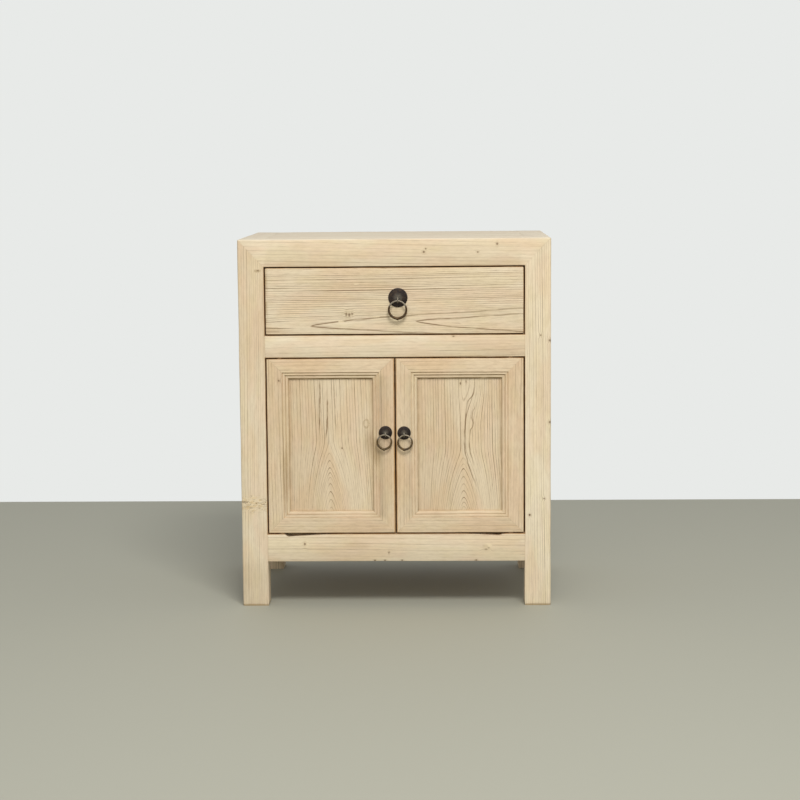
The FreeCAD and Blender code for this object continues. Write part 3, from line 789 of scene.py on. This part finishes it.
def cut_mitres(side, back, own):
    """Parts a frame member from the other two at a top corner, by planes that follow their widths."""
    corner = Vector((side * SIDE, BACK if back else FRONT, TOP))
    post = SIDE - INNER
    inward = {
        "across": -side * X / post,
        "deep": (-Y if back else Y) / post,
        "down": -Z / (TOP - TOP_RAIL_LOW),
    }
    for other in inward:
        if other != own:
            waste = (inward[other] - inward[own]).normalized()
            cut(corner - waste * HAIRLINE, waste)


def ease_long_edges(direction, outer):
    """Rounds the outer corner edge of a frame member well, and takes the sharpness off the others."""
    def still_sharp(edge):
        faces = edge.link_faces
        return runs_along(edge, direction) and faces[0].normal.dot(faces[1].normal) < SQUARE
    choose_edges_along(direction, outer)
    bevel(OUTER_ROUNDING, 4)
    choose_members("EDGE", still_sharp)
    bevel(EDGE_EASE, 2)


def model_member(node, run, outward, own, corners):
    """A post or top rail, rounded along the edge that faces outward two ways, and mitred at top corners."""
    low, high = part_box(node)
    piece = start_board(f"{node}_wood", low, high)
    faces = [(way, max(low.dot(way), high.dot(way)) - NEAR) for way in outward]
    ease_long_edges(run, lambda middle: all(middle.dot(way) > face for way, face in faces))
    if own == "down":
        choose("EDGE", lambda corner: corner.z < NEAR)
        bevel(FOOT_CHAMFER, 2)
    for side, back in corners:
        cut_mitres(side, back, own)
    divide(run, low, high)
    done()
    return piece


def plain_board(name, low, high, run, step=STEP):
    """A straight board with eased edges, scored across its length."""
    piece = start_board(name, low, high)
    choose("EDGE", lambda corner: True)
    bevel(EDGE_EASE, 2)
    divide(run, low, high, step)
    done()
    return piece


# The spans between the posts and rails where plain boards show
ACROSS = (-INNER, INNER)
DEEP = (FRONT_POST_BACK, BACK_POST_FRONT)
TALL = (BOTTOM_RAIL_HIGH, TOP_RAIL_LOW)
DRAWER_TALL = (MIDDLE_RAIL_HIGH, TOP_RAIL_LOW)
DOOR_TALL = (BOTTOM_RAIL_HIGH, MIDDLE_RAIL_LOW)
TOP_BOARD = (BACK_POST_FRONT - FRONT_POST_BACK) / 3
TOP_BOARDS = [(FRONT_POST_BACK + i * TOP_BOARD, FRONT_POST_BACK + (i + 1) * TOP_BOARD) for i in range(3)]
# The direction that each plain board runs in, and its span along X, Y and Z where it is cut back
PLAIN_BOARDS = {
    "middle_rail_front": (X, ACROSS, None, None),
    "middle_rail_back": (X, ACROSS, None, None),
    "bottom_rail_front": (X, ACROSS, None, None),
    "bottom_rail_back": (X, ACROSS, None, None),
    "bottom_rail_left": (Y, None, DEEP, None),
    "top_board_front": (X, ACROSS, TOP_BOARDS[0], None),
    "top_board_middle": (X, ACROSS, TOP_BOARDS[1], None),
    "top_board_back": (X, ACROSS, TOP_BOARDS[2], None),
    "side_panel_left": (Z, None, DEEP, TALL),
    "back_panel_lower": (X, ACROSS, None, DOOR_TALL),
    "back_panel_upper": (X, ACROSS, None, DRAWER_TALL),
}
# Worn hollows under the doors: where each starts, is deepest and ends along X, and its depth
HOLLOWS = ((-0.2165, -0.2125, -0.108, 0.0056), (0.213, 0.200, 0.112, 0.0038))
HOLLOW_STEP = STEP / 3
HOLLOW_CURVE = 1.5


def wear_hollow(level, start, deepest, end, depth):
    """Sinks a stretch of the open rail's upper edge, steeply at one end and slowly at the other."""
    mesh = bmesh.from_edit_mesh(bpy.context.object.data)
    places = sorted({round(vert.co.x, 5) for vert in mesh.verts})
    for place in places:
        way = (place - deepest) / ((start if (place < deepest) == (start < deepest) else end) - deepest)
        if way >= 1:
            continue
        choose("VERT", lambda corner: abs(corner.x - place) < NEAR and corner.z > level - 2 * EDGE_EASE)
        bpy.ops.transform.translate(value=(0, 0, -depth * (1 - way) ** HOLLOW_CURVE))


def model_frame():
    """The posts, rails, top boards and panels. Those on the other sides are mirrored."""
    members = {
        "post_front_left": model_member("post_front_left", Z, (-X, -Y), "down", [(-1, False)]),
        "top_rail_front": model_member("top_rail_front", X, (-Y, Z), "across", [(-1, False), (1, False)]),
        "top_rail_left": model_member("top_rail_left", Y, (-X, Z), "deep", [(-1, False), (-1, True)]),
    }
    for node, (run, *spans) in PLAIN_BOARDS.items():
        low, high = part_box(node)
        for axis, span in enumerate(spans):
            if span:
                low[axis], high[axis] = span[0] + HAIRLINE, span[1] - HAIRLINE
        step = HOLLOW_STEP if node == "bottom_rail_front" else STEP
        members[node] = plain_board(f"{node}_wood", low, high, run, step)
    edit(members["bottom_rail_front"])
    for hollow in HOLLOWS:
        wear_hollow(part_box("bottom_rail_front")[1].z, *hollow)
    done()
    for node, other, flip in (
        ("post_front_left", "post_front_right", FLIP_SIDES),
        ("post_front_left", "post_back_left", FLIP_DEPTH),
        ("post_front_right", "post_back_right", FLIP_DEPTH),
        ("top_rail_front", "top_rail_back", FLIP_DEPTH),
        ("top_rail_left", "top_rail_right", FLIP_SIDES),
        ("bottom_rail_left", "bottom_rail_right", FLIP_SIDES),
        ("side_panel_left", "side_panel_right", FLIP_SIDES),
    ):
        members[other] = copy_flipped(members[node], f"{other}_wood", flip)
    return members


# Drawer front and doors

DRAWER_CORNER = 0.0028
DRAWER_ROUNDING = 0.0011
DOOR_ROUNDING = 0.0010
PANEL_GROOVE = 0.0075
PIVOT_CLEARANCE = 0.0001
PIVOT_SIDES = 32


def model_drawer_front():
    low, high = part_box("drawer_front")
    piece = start_board("drawer_front_wood", low, high)
    choose_edges_along(Y, lambda middle: True)
    bevel(DRAWER_CORNER, 4)
    choose("EDGE", lambda corner: corner.y < low.y + NEAR)
    bevel(DRAWER_ROUNDING, 4)
    divide(X, low, high)
    divide(Z, low, high)
    done()
    for node in ("drawer_side_left", "drawer_side_right", "drawer_bottom", "drawer_pull_pin"):
        let_in(piece, node)
    return piece


def visible_panel(hand):
    """The box that a door's stiles and rails leave open, with room before and behind it."""
    stiles = [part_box(f"{hand}_door_{kind}_stile") for kind in ("hinge", "meeting")]
    low = Vector((min(box[1].x for box in stiles), -1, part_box(f"{hand}_door_bottom_rail")[1].z))
    high = Vector((max(box[0].x for box in stiles), 1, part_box(f"{hand}_door_top_rail")[0].z))
    return low, high


def model_door_member(node, outward):
    """A stile or rail of the left door. Outward points from the panel to the door's edge."""
    low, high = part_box(node)
    run = X if outward.z else Z
    piece = start_board(f"{node}_wood", low, high)
    face, rim = sorted((low.dot(outward), high.dot(outward)))
    for reach, _ in MOULDING[:-1]:
        score(outward, face + reach)
    for reach, depth in MOULDING:
        line = face + reach
        choose("VERT", lambda corner: abs(corner.dot(outward) - line) < NEAR and corner.y < FRONT + NEAR)
        bpy.ops.transform.translate(value=(0, depth, 0))
    panel_front, panel_back = (corner.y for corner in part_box("left_door_panel"))
    score(Y, panel_front, panel_back)
    choose("FACE", lambda corner: abs(corner.dot(outward) - face) < NEAR
           and panel_front - NEAR < corner.y < panel_back + NEAR)
    bpy.ops.mesh.extrude_region_move(TRANSFORM_OT_translate={"value": outward * PANEL_GROOVE})
    choose("EDGE", lambda corner: abs(corner.dot(outward) - rim) < NEAR and corner.y < FRONT + NEAR)
    bevel(DOOR_ROUNDING, 3)
    sight_low, sight_high = visible_panel("left")
    for end in (-run, run):
        way = outward + end
        x = (sight_high if way.x > 0 else sight_low).x
        z = (sight_high if way.z > 0 else sight_low).z
        waste = (end - outward).normalized()
        cut(Vector((x, FRONT, z)) - waste * HAIRLINE, waste)
    divide(run, low, high)
    done()
    return piece


def model_left_door():
    """The frame and panel of the left door."""
    members = {}
    for kind, outward in (("hinge_stile", -X), ("meeting_stile", X), ("top_rail", Z), ("bottom_rail", -Z)):
        members[f"left_door_{kind}"] = model_door_member(f"left_door_{kind}", outward)
    members["left_door_panel"] = plain_board("left_door_panel_wood", *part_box("left_door_panel"), Z)
    return members


def drill_for_pivots(rail, *pivots):
    """Holes for the dowels that a rail takes, with a little play."""
    for pivot in pivots:
        low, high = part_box(pivot)
        deselect()
        bpy.ops.mesh.primitive_cylinder_add(
            vertices=PIVOT_SIDES, radius=(high.x - low.x) / 2 + PIVOT_CLEARANCE,
            depth=high.z - low.z + 2 * PIVOT_CLEARANCE, location=(low + high) / 2)
        take_away(rail, bpy.context.object)


# Ring pulls

PLATE_SIDES = 64
PLATE_RINGS = 7
PLATE_RIM = 0.0011
PLATE_RIM_EASE = 0.0004
PLATE_BOSS = 0.0042
PLATE_SPREAD = 1.03
# Share of a plate's width within which it is lighter round its eye.
PLATE_LIGHTER_REACH = 0.32
WIRE_SPREAD = 1.3
# Share of a ring's height, from its top, that is painted lighter: painted highlight with wear.
RING_WORN_AND_HIGHLIT = 0.3
RING_TAPER = 0.76
RING_SEGMENTS = (72, 20)
RING_STEPS = 16
RING_TIP = 0.2
# The wire is thinned to the taper, and gains so many times what that took on its way down. It starts to
# gain so many radii above the ring's middle, and does so over so many radii
RING_THICKENS = 1.7
RING_THICK_FROM = 0.6
RING_THICK_OVER = 1.5
# Each ring's point is drawn down twice, by so many wires over a reach of so many
RING_POINT = {"drawer": ((0.15, 4.5), (0.6, 1.9)), "left_door": ((0.75, 5.5), (0.4, 2.2))}
# How far each ring has slipped round in its eye, and leans to one side, in degrees
RING_HANGS = {"drawer": (0, -2), "left_door": (5, -9), "right_door": (-14, 8)}


def model_plate(node, name):
    """A round plate, raised to a low dome by insetting its face again and again."""
    low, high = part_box(node)
    radius = (high.x - low.x) / 2 * PLATE_SPREAD
    deselect()
    bpy.ops.mesh.primitive_circle_add(
        vertices=PLATE_SIDES, radius=radius, fill_type="NGON",
        location=((low.x + high.x) / 2, high.y, (low.z + high.z) / 2), rotation=(math.pi / 2, 0, 0))
    piece = take_up(name)
    choose_all()
    bpy.ops.mesh.extrude_region_move(TRANSFORM_OT_translate={"value": (0, -PLATE_RIM, 0)})
    climb = high.y - low.y - PLATE_RIM
    levels = [climb * math.sin(i / PLATE_RINGS * math.pi / 2) for i in range(PLATE_RINGS + 1)]
    for last, level in zip(levels, levels[1:]):
        bpy.ops.mesh.inset(thickness=(radius - PLATE_BOSS) / PLATE_RINGS, depth=level - last)
    choose("EDGE", lambda corner: abs(corner.y - (high.y - PLATE_RIM)) < NEAR)
    bevel(PLATE_RIM_EASE, 2)
    done()
    return piece


def ring_place(node):
    """Where a ring hangs in its eye, its radius and half the thickness of its wire."""
    low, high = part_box(node)
    half = (high.y - low.y) / 2
    eye = Vector(((low.x + high.x) / 2, (low.y + high.y) / 2, high.z - half))
    return eye, (high.x - low.x) / 2 - half, half


def model_ring(node, name, point):
    """A round wire ring, thicker towards the bottom, where it is drawn out to a point."""
    eye, radius, half = ring_place(node)
    wire = half * WIRE_SPREAD
    middle = eye - Z * radius
    deselect()
    bpy.ops.mesh.primitive_torus_add(
        major_radius=radius, minor_radius=wire * RING_TAPER, major_segments=RING_SEGMENTS[0],
        minor_segments=RING_SEGMENTS[1], location=middle, rotation=(math.pi / 2, 0, 0))
    piece = take_up(name)
    for i in range(RING_STEPS):
        level = middle.z + radius * (RING_THICK_FROM - RING_THICK_OVER * i / RING_STEPS)
        choose("VERT", lambda corner: corner.z < level)
        bpy.ops.transform.shrink_fatten(value=wire * (1 - RING_TAPER) * RING_THICKENS / RING_STEPS)
    bottom = middle.z - radius - wire
    choose("VERT", lambda corner: corner.z < bottom and abs(corner.x - middle.x) < wire * RING_TIP)
    for drop, reach in point:
        bpy.ops.transform.translate(
            value=(0, 0, -wire * drop), use_proportional_edit=True, proportional_edit_falloff="SHARP",
            proportional_size=wire * reach)
    done()
    return piece


def hang_ring(ring, node, slip, lean):
    """Turns a ring round in its eye by one angle, and lets it hang to one side by another."""
    eye, radius, _ = ring_place(node)
    edit(ring)
    choose_all()
    for angle, pivot in ((slip, eye - Z * radius), (lean, eye)):
        bpy.ops.transform.rotate(value=math.radians(angle), orient_axis="Y", center_override=pivot)
    done()


# Finish of the boards

def spot(x, z, across, along, share, deep=SPOT_DEPTH):
    """A spot on the front, as centre, half size and share."""
    return (x, FRONT, z), (across, deep, along), share


# Where the heart of each frame board's tree lay, as a point on it and its direction
FRAME_HEARTS = {
    "post_front_left": ((-0.155, FRONT + 0.03, 0.35), (0.006, 0.0, 1.0)),
    "post_front_right": ((0.405, FRONT + 0.02, 0.35), (-0.012, 0.0, 1.0)),
    "post_back_left": ((-0.18, BACK - 0.09, 0.35), (0.01, 0.004, 1.0)),
    "post_back_right": ((0.17, BACK - 0.06, 0.35), (-0.008, 0.004, 1.0)),
    "top_rail_front": ((0.0, FRONT + 0.06, 0.585), (1.0, 0.004, -0.02)),
    "top_rail_back": ((0.0, BACK - 0.05, 0.60), (1.0, 0.0, 0.02)),
    "top_rail_left": ((-0.23, 0.0, 0.59), (0.01, 1.0, 0.02)),
    "top_rail_right": ((0.25, 0.0, 0.60), (0.01, 1.0, -0.02)),
    "middle_rail_front": ((0.0, FRONT + 0.03, 0.40), (1.0, 0.004, 0.02)),
    "middle_rail_back": ((0.0, BACK - 0.03, 0.43), (1.0, 0.0, -0.01)),
    "bottom_rail_front": ((0.0, FRONT + 0.04, 0.215), (1.0, 0.0, -0.012)),
    "bottom_rail_back": ((0.0, BACK - 0.04, 0.02), (1.0, 0.0, 0.012)),
    "bottom_rail_left": ((-0.26, 0.0, 0.03), (0.0, 1.0, 0.01)),
    "bottom_rail_right": ((0.27, 0.0, 0.20), (0.0, 1.0, -0.01)),
    "top_board_front": ((0.0, -0.11, 0.66), (1.0, 0.02, -0.03)),
    "top_board_middle": ((0.0, 0.03, 0.665), (1.0, -0.02, 0.03)),
    "top_board_back": ((0.0, 0.10, 0.655), (1.0, 0.01, -0.04)),
    "side_panel_left": ((-0.24, 0.01, 0.40), (-0.05, 0.02, 1.0)),
    "side_panel_right": ((0.235, 0.02, 0.40), (-0.06, 0.01, 1.0)),
    "back_panel_lower": ((0.0, 0.15, 0.33), (1.0, 0.03, 0.01)),
    "back_panel_upper": ((0.0, 0.16, 0.58), (1.0, -0.03, 0.01)),
}
# Nicks along the lower edge of the bottom rail, by their places along X
BOTTOM_NICKS = (-0.0418, -0.0221, 0.0114, 0.1553)
# What has marked the boards of the frame and the doors
FLAWS = {
    "post_front_left": {
        "marks": [
            spot(-0.261, 0.654, 0.0035, 0.0016, 0.7), spot(-0.295, 0.205, 0.0055, 0.0022, 0.9),
            spot(-0.291, 0.195, 0.007, 0.002, 0.9), spot(-0.267, 0.203, 0.0035, 0.0013, 0.6)],
        # The last of these darkens the foot along its lowest edge, at the floor.
        "darkened_spots": [
            spot(-0.263, 0.6535, 0.0034, 0.0017, 0.35, 0.02), spot(-0.28, 0.04, 0.02, 0.03, 0.2, 0.03),
            spot(-0.275, 0.0, 0.03, 0.002, 0.7, 0.06)],
        "torn": spot(-0.277, 0.201, 0.036, 0.019, 0.6, 0.03)},
    "post_front_right": {
        "marks": [
            spot(0.259, 0.178, 0.0024, 0.0024, 1.0), spot(0.280, 0.527, 0.0022, 0.0022, 0.6),
            spot(0.298, 0.517, 0.003, 0.003, 0.7), spot(0.298, 0.359, 0.0028, 0.003, 0.7),
            spot(0.287, 0.210, 0.0024, 0.0018, 0.6)],
        # This darkens the foot along its lowest edge, at the floor.
        "darkened_spots": [spot(0.275, 0.0, 0.03, 0.002, 0.7, 0.06)]},
    "top_rail_front": {"marks": [
        spot(0.057, 0.688, 0.0026, 0.0028, 0.75), spot(0.061, 0.694, 0.0018, 0.0018, 0.7),
        spot(0.197, 0.7025, 0.0022, 0.0034, 0.7), spot(0.160, 0.687, 0.0022, 0.002, 0.6)]},
    "middle_rail_front": {"marks": [spot(0.113, 0.526, 0.003, 0.0014, 0.7)]},
    "bottom_rail_front": {
        "marks": [
            spot(-0.178, 0.122, 0.0026, 0.0036, 0.7), spot(0.1745, 0.1105, 0.0042, 0.0022, 0.45),
            spot(0.1795, 0.1135, 0.0028, 0.0020, 0.4), spot(-0.0143, 0.1046, 0.0017, 0.0028, 0.6),
            *(spot(x, 0.0895, 0.0024, 0.0013, 0.9) for x in BOTTOM_NICKS)],
        "darkened_spots": [
            spot(0.1735, 0.1175, 0.0030, 0.0018, 0.25, 0.02),
            spot(-0.072, 0.120, 0.012, 0.004, 0.14, 0.02)],
        "fills": [spot(0.178, 0.1175, 0.010, 0.0075, 0.75), spot(-0.1765, 0.1215, 0.0075, 0.0075, 0.6)]},
    "left_door_hinge_stile": {
        "marks": [spot(-0.224, 0.442, 0.002, 0.0024, 0.7)],
        "darkened_spots": [spot(-0.213, 0.25, 0.0035, 0.03, 0.35, 0.02)]},
    "left_door_meeting_stile": {"darkened_spots": [spot(-0.040, 0.305, 0.008, 0.014, 0.45, 0.02)]},
}
# How the drawer front and the door panels were sawn, and what shows on them
DRAWER_FIGURE = {
    "heart": (-0.2405, FRONT + 0.0043, 0.5492), "along": (1.0, 0.0, 0.01), "ring": 0.0040, "wander": 0.0022,
    "count": 13.37, "arches": {
        "upper_turn": 0.0, "upper_slope": 0.03, "arch": 0.022, "boost": -0.85, "far": 0.09, "late": 0.4},
    "points": [((-0.158, FRONT, 0.5474), 0.0144, 0.0079), ((0.0437, FRONT, 0.5554), 0.0079, 0.0145)],
    "marks": [
        spot(-0.0922, 0.5690, 0.0022, 0.0052, 0.62), spot(-0.0866, 0.5682, 0.0026, 0.0046, 0.68),
        spot(-0.0812, 0.5700, 0.0020, 0.0040, 0.55)],
    "fills": [
        spot(-0.1025, 0.5555, 0.008, 0.0028, 0.8), spot(-0.0725, 0.6275, 0.006, 0.0016, 0.7),
        spot(-0.0355, 0.5645, 0.010, 0.0018, 0.6)],
}
PANEL_FIGURES = {
    "left_door_panel": {
        "heart": (-0.129, FRONT + 0.011, 0.315), "along": (-0.024, 0.0, 1.0), "count": 3.37,
        "arches": {"lower_turn": 0.0, "lower_slope": 0.42, "arch": 0.048, "boost": 0.25, "far": 0.07},
        "lines": [
            (((0.322, -0.1373), (0.350, -0.1325), (0.375, -0.1313), (0.408, -0.1313)), 0.0022, 0.85),
            (((0.326, -0.1485), (0.365, -0.1468), (0.400, -0.1458), (0.446, -0.1457)), 0.0020, 0.8),
            (((0.330, -0.1145), (0.380, -0.1165), (0.446, -0.1185)), 0.0016, 0.5)],
        "marks": [spot(-0.104, 0.309, 0.0016, 0.002, 0.75, 0.02)],
        "rims": [spot(-0.0565, 0.357, 0.0065, 0.0095, 0.38, 0.03)],
        "darkened_spots": [spot(-0.050, 0.318, 0.006, 0.014, 0.3, 0.02)]},
    "right_door_panel": {
        "heart": (0.131, FRONT + 0.012, 0.30), "along": (-0.01, 0.0, 1.0), "count": 6.74,
        "arches": {"lower_turn": 0.0, "lower_slope": 0.44, "arch": 0.050, "boost": 0.25, "far": 0.07},
        "lines": [
            (((0.217, 0.1647), (0.2515, 0.1497), (0.2815, 0.1396), (0.315, 0.1336), (0.3625, 0.1356),
              (0.395, 0.139), (0.413, 0.1503), (0.446, 0.1564)), 0.0020, 0.8),
            (((0.262, 0.1535), (0.2815, 0.1497), (0.315, 0.143), (0.342, 0.1447), (0.356, 0.1503),
              (0.369, 0.148), (0.386, 0.153), (0.400, 0.158)), 0.0018, 0.65)],
        "marks": [
            spot(0.126, 0.434, 0.0018, 0.0045, 0.7, 0.02), spot(0.137, 0.438, 0.0016, 0.0045, 0.7, 0.02)],
        "bulges": [spot(0.152, 0.44, 0.010, 0.024, 0.018, 0.02)]},
}


def finish_frame(members):
    """Elm for the posts, rails, boards and panels of the frame."""
    for node, piece in members.items():
        heart, along = FRAME_HEARTS[node]
        wear(piece)
        fine = {}
        if node.startswith("post"):
            settle_foot(piece)
            fine = {"ring": 0.0045, "line": 1.15}
        # Painted light: the right front post gets paler elm, as if lit more strongly from the right.
        if node == "post_front_right":
            fine.update(PAINTED_LIGHT_POST_ELM)
        if node.startswith("middle_rail"):
            fine = {"line": 0.55}
        wood = elm(
            f"{node}_elm", heart, along, painted_top_sheen=node.startswith("top"), seams="front" in node, **fine,
            **FLAWS.get(node, {}))
        fit(piece, node, wood)


def settle_foot(piece):
    """Stands a worn post flat on the floor again."""
    edit(piece)
    choose("VERT", lambda corner: corner.z < FOOT_CHAMFER / 2)
    bpy.ops.transform.resize(value=(1, 1, 0), center_override=(0, 0, 0))
    done()


def finish_drawer_front(piece):
    wear(piece)
    left_end = ((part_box("drawer_front")[0].x, -1, -1), (1, 1, 1), GRIME_REACH, GRIME_SHARE)
    wood = elm(
        "drawer_front_elm", line=2.0, fleck=0.1, relief=0.9, grime=left_end, seams=True, **DRAWER_FIGURE)
    fit(piece, "drawer_front", wood)


def finish_door(members, side):
    """Elm for a door's frame, with upright and level grain, and for its panel."""
    hearts = {
        "hinge_stile": ((side * 0.34, FRONT + 0.02, 0.31), (side * 0.01, 0.0, 1.0)),
        "meeting_stile": ((side * -0.07, FRONT + 0.03, 0.31), (side * 0.008, 0.0, 1.0)),
        "top_rail": ((side * 0.12, FRONT + 0.03, 0.55), (1.0, 0.0, 0.01)),
        "bottom_rail": ((side * 0.12, FRONT + 0.03, 0.07), (1.0, 0.0, 0.012)),
    }
    for node, piece in members.items():
        hand, kind = node.split("_door_")
        sight = visible_panel(hand)
        wear(piece)
        if kind == "panel":
            wood = elm(
                f"{node}_elm", ring=0.0056, wander=0.0024, line=1.5, fleck=0.09, relief=0.9, moulding=sight,
                **PANEL_ELM, **PANEL_FIGURES[node])
            fit(piece, node, wood)
        else:
            heart, along = hearts[kind]
            wood = elm(
                f"{node}_elm", heart, along, fleck=0.12, moulding=sight, seams=True, **DOOR_ELM,
                **FLAWS.get(node, {}))
            fit(piece, node, wood)


def paint(node, material):
    """Gives a CAD part a material in place of its plain one."""
    for slot in nodes[node].material_slots:
        slot.material = material


def finish_inside():
    """Bare timber for the parts inside, with the grain along each one, and iron for the pulls' eyes."""
    heart = Vector((0.03, 0.05, 0.46))
    for letter, along, members in (
        ("x", X, ("floor_board_front", "floor_board_back", "door_stop", "drawer_back", "drawer_bottom")),
        ("y", Y, ("top_batten", "drawer_runner_left", "drawer_runner_right", "drawer_guide_left",
                  "drawer_guide_right", "drawer_stops", "drawer_side_left", "drawer_side_right")),
        ("z", Z, ("left_door_pivot_top", "left_door_pivot_bottom", "right_door_pivot_top",
                  "right_door_pivot_bottom")),
    ):
        wood = elm(f"bare_elm_along_{letter}", heart, along, ring=0.007, shine=0.6, **BARE_ELM)
        for node in members:
            paint(node, wood)
    eye_iron = make_iron("rubbed_iron", EYE_WORN)
    for name in RING_HANGS:
        paint(f"{name}_pull_pin", eye_iron)


def build_pulls():
    """The drawer's pull, the left door's and a copy of that on the right door."""
    plates, rings = {}, {}
    for name, point in RING_POINT.items():
        plates[name] = model_plate(f"{name}_pull_plate", f"{name}_pull_plate_iron")
        rings[name] = model_ring(f"{name}_pull_ring", f"{name}_pull_ring_iron", point)
    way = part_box("right_door_pull_plate")[0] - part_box("left_door_pull_plate")[0]
    plates["right_door"] = copy_moved(plates["left_door"], "right_door_pull_plate_iron", way)
    rings["right_door"] = copy_moved(rings["left_door"], "right_door_pull_ring_iron", way)
    for name, (slip, lean) in RING_HANGS.items():
        hang_ring(rings[name], f"{name}_pull_ring", slip, lean)
        # Each plate is lighter round its eye.
        low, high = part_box(f"{name}_pull_plate")
        eye = Vector(((low.x + high.x) / 2, low.y, (low.z + high.z) / 2))
        reach = (high.x - low.x) * PLATE_LIGHTER_REACH
        lightened = make_iron(f"{name}_plate_iron", PLATE_WORN, bright_round=(eye, reach))
        fit(plates[name], f"{name}_pull_plate", lightened)
        # Each ring's upper part is painted lighter: a painted highlight, with wear.
        low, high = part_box(f"{name}_pull_ring")
        worn_and_highlit = make_iron(
            f"{name}_ring_iron", RING_WORN, BROWN_IRON if name == "drawer" else OLIVE_IRON,
            bright_above=high.z - (high.z - low.z) * RING_WORN_AND_HIGHLIT)
        fit(rings[name], f"{name}_pull_ring", worn_and_highlit)


# Stage

CAMERA = Vector((0.1029, FRONT - 3.7122, 0.8503))
YAW, PITCH, ROLL = (math.radians(angle) for angle in (-1.441, -6.86, -0.455))
LENS = 87.35
SENSOR = 36
FLOOR_GREY = colour(169, 168, 153)
FLOOR_ROUGHNESS = 0.7
FLOOR_HALF_WIDTH = 9.0
FLOOR_NEAR, FLOOR_FAR = -9.0, 1.005
PALE_ROOM = colour(232, 234, 232)
ROOM_LIGHT = 0.45
# Each light's place, its size and its power
LIGHTS = {"key": ((0.6, -2.6, 3.3), 1.2, 93), "fill": ((-0.8, -4.8, 1.9), 3.0, 36)}


def set_camera():
    forward = Vector((math.sin(YAW) * math.cos(PITCH), math.cos(YAW) * math.cos(PITCH), math.sin(PITCH)))
    right = Vector((math.cos(YAW), -math.sin(YAW), 0))
    up = right.cross(forward)
    across = right * math.cos(ROLL) + up * math.sin(ROLL)
    upright = up * math.cos(ROLL) - right * math.sin(ROLL)
    bpy.ops.object.camera_add()
    camera = bpy.context.object
    camera.data.lens = LENS
    camera.data.sensor_width = SENSOR
    turn = Matrix((across, upright, -forward)).transposed().to_4x4()
    camera.matrix_world = Matrix.Translation(CAMERA) @ turn
    bpy.context.scene.camera = camera


def lay_floor():
    deselect()
    bpy.ops.mesh.primitive_plane_add(size=1, location=(0, (FLOOR_NEAR + FLOOR_FAR) / 2, 0))
    bpy.ops.transform.resize(value=(2 * FLOOR_HALF_WIDTH, FLOOR_FAR - FLOOR_NEAR, 1))
    bpy.ops.object.transform_apply(location=True, rotation=True, scale=True)
    floor = bpy.context.object
    floor.name = "floor"
    material = bpy.data.materials.new("pale_floor")
    material.use_nodes = True
    shader = material.node_tree.nodes["Principled BSDF"]
    feed(shader, {"Base Color": FLOOR_GREY, "Roughness": FLOOR_ROUGHNESS})
    floor.data.materials.append(material)


def hang_light(name, place, size, power):
    """A square soft light that faces the middle of the cabinet."""
    bpy.ops.object.light_add(type="AREA", location=place)
    light = bpy.context.object
    light.name = name
    light.data.size = size
    light.data.energy = power
    aim = Vector((0, 0, TOP / 2)) - Vector(place)
    light.rotation_euler = aim.to_track_quat("-Z", "Y").to_euler()


def light_room():
    """A pale room that shows behind the cabinet and in what shines, and lights it less than it shows."""
    world = bpy.data.worlds.new("pale_room")
    bpy.context.scene.world = world
    world.use_nodes = True
    tree = world.node_tree
    tree.nodes.clear()
    light = out(tree, "ShaderNodeBackground", (1, 1, 1, 1), ROOM_LIGHT)
    seen = out(tree, "ShaderNodeBackground", PALE_ROOM, 1.0)
    path = put(tree, "ShaderNodeLightPath").outputs
    rays = [Field(path[f"Is {kind} Ray"]) for kind in ("Camera", "Glossy", "Transmission")]
    mix = out(tree, "ShaderNodeMixShader", strongest(rays), light, seen)
    put(tree, "ShaderNodeOutputWorld", mix)
    for name, (place, size, power) in LIGHTS.items():
        hang_light(name, place, size, power)


members = model_frame()
for end, rail in (("top", "middle_rail_front"), ("bottom", "bottom_rail_front")):
    drill_for_pivots(members[rail], f"left_door_pivot_{end}", f"right_door_pivot_{end}")
left_door = model_left_door()
right_door = {}
for node, piece in left_door.items():
    other = node.replace("left_", "right_")
    right_door[other] = copy_flipped(piece, f"{other}_wood", FLIP_SIDES)
for hand, door in (("left", left_door), ("right", right_door)):
    let_in(door[f"{hand}_door_meeting_stile"], f"{hand}_door_pull_pin")
    for end in ("top", "bottom"):
        drill_for_pivots(door[f"{hand}_door_{end}_rail"], f"{hand}_door_pivot_{end}")
finish_frame(members)
finish_drawer_front(model_drawer_front())
finish_door(left_door, -1)
finish_door(right_door, 1)
finish_inside()
build_pulls()
set_camera()
lay_floor()
light_room()
bpy.context.scene.view_settings.view_transform = "Standard"
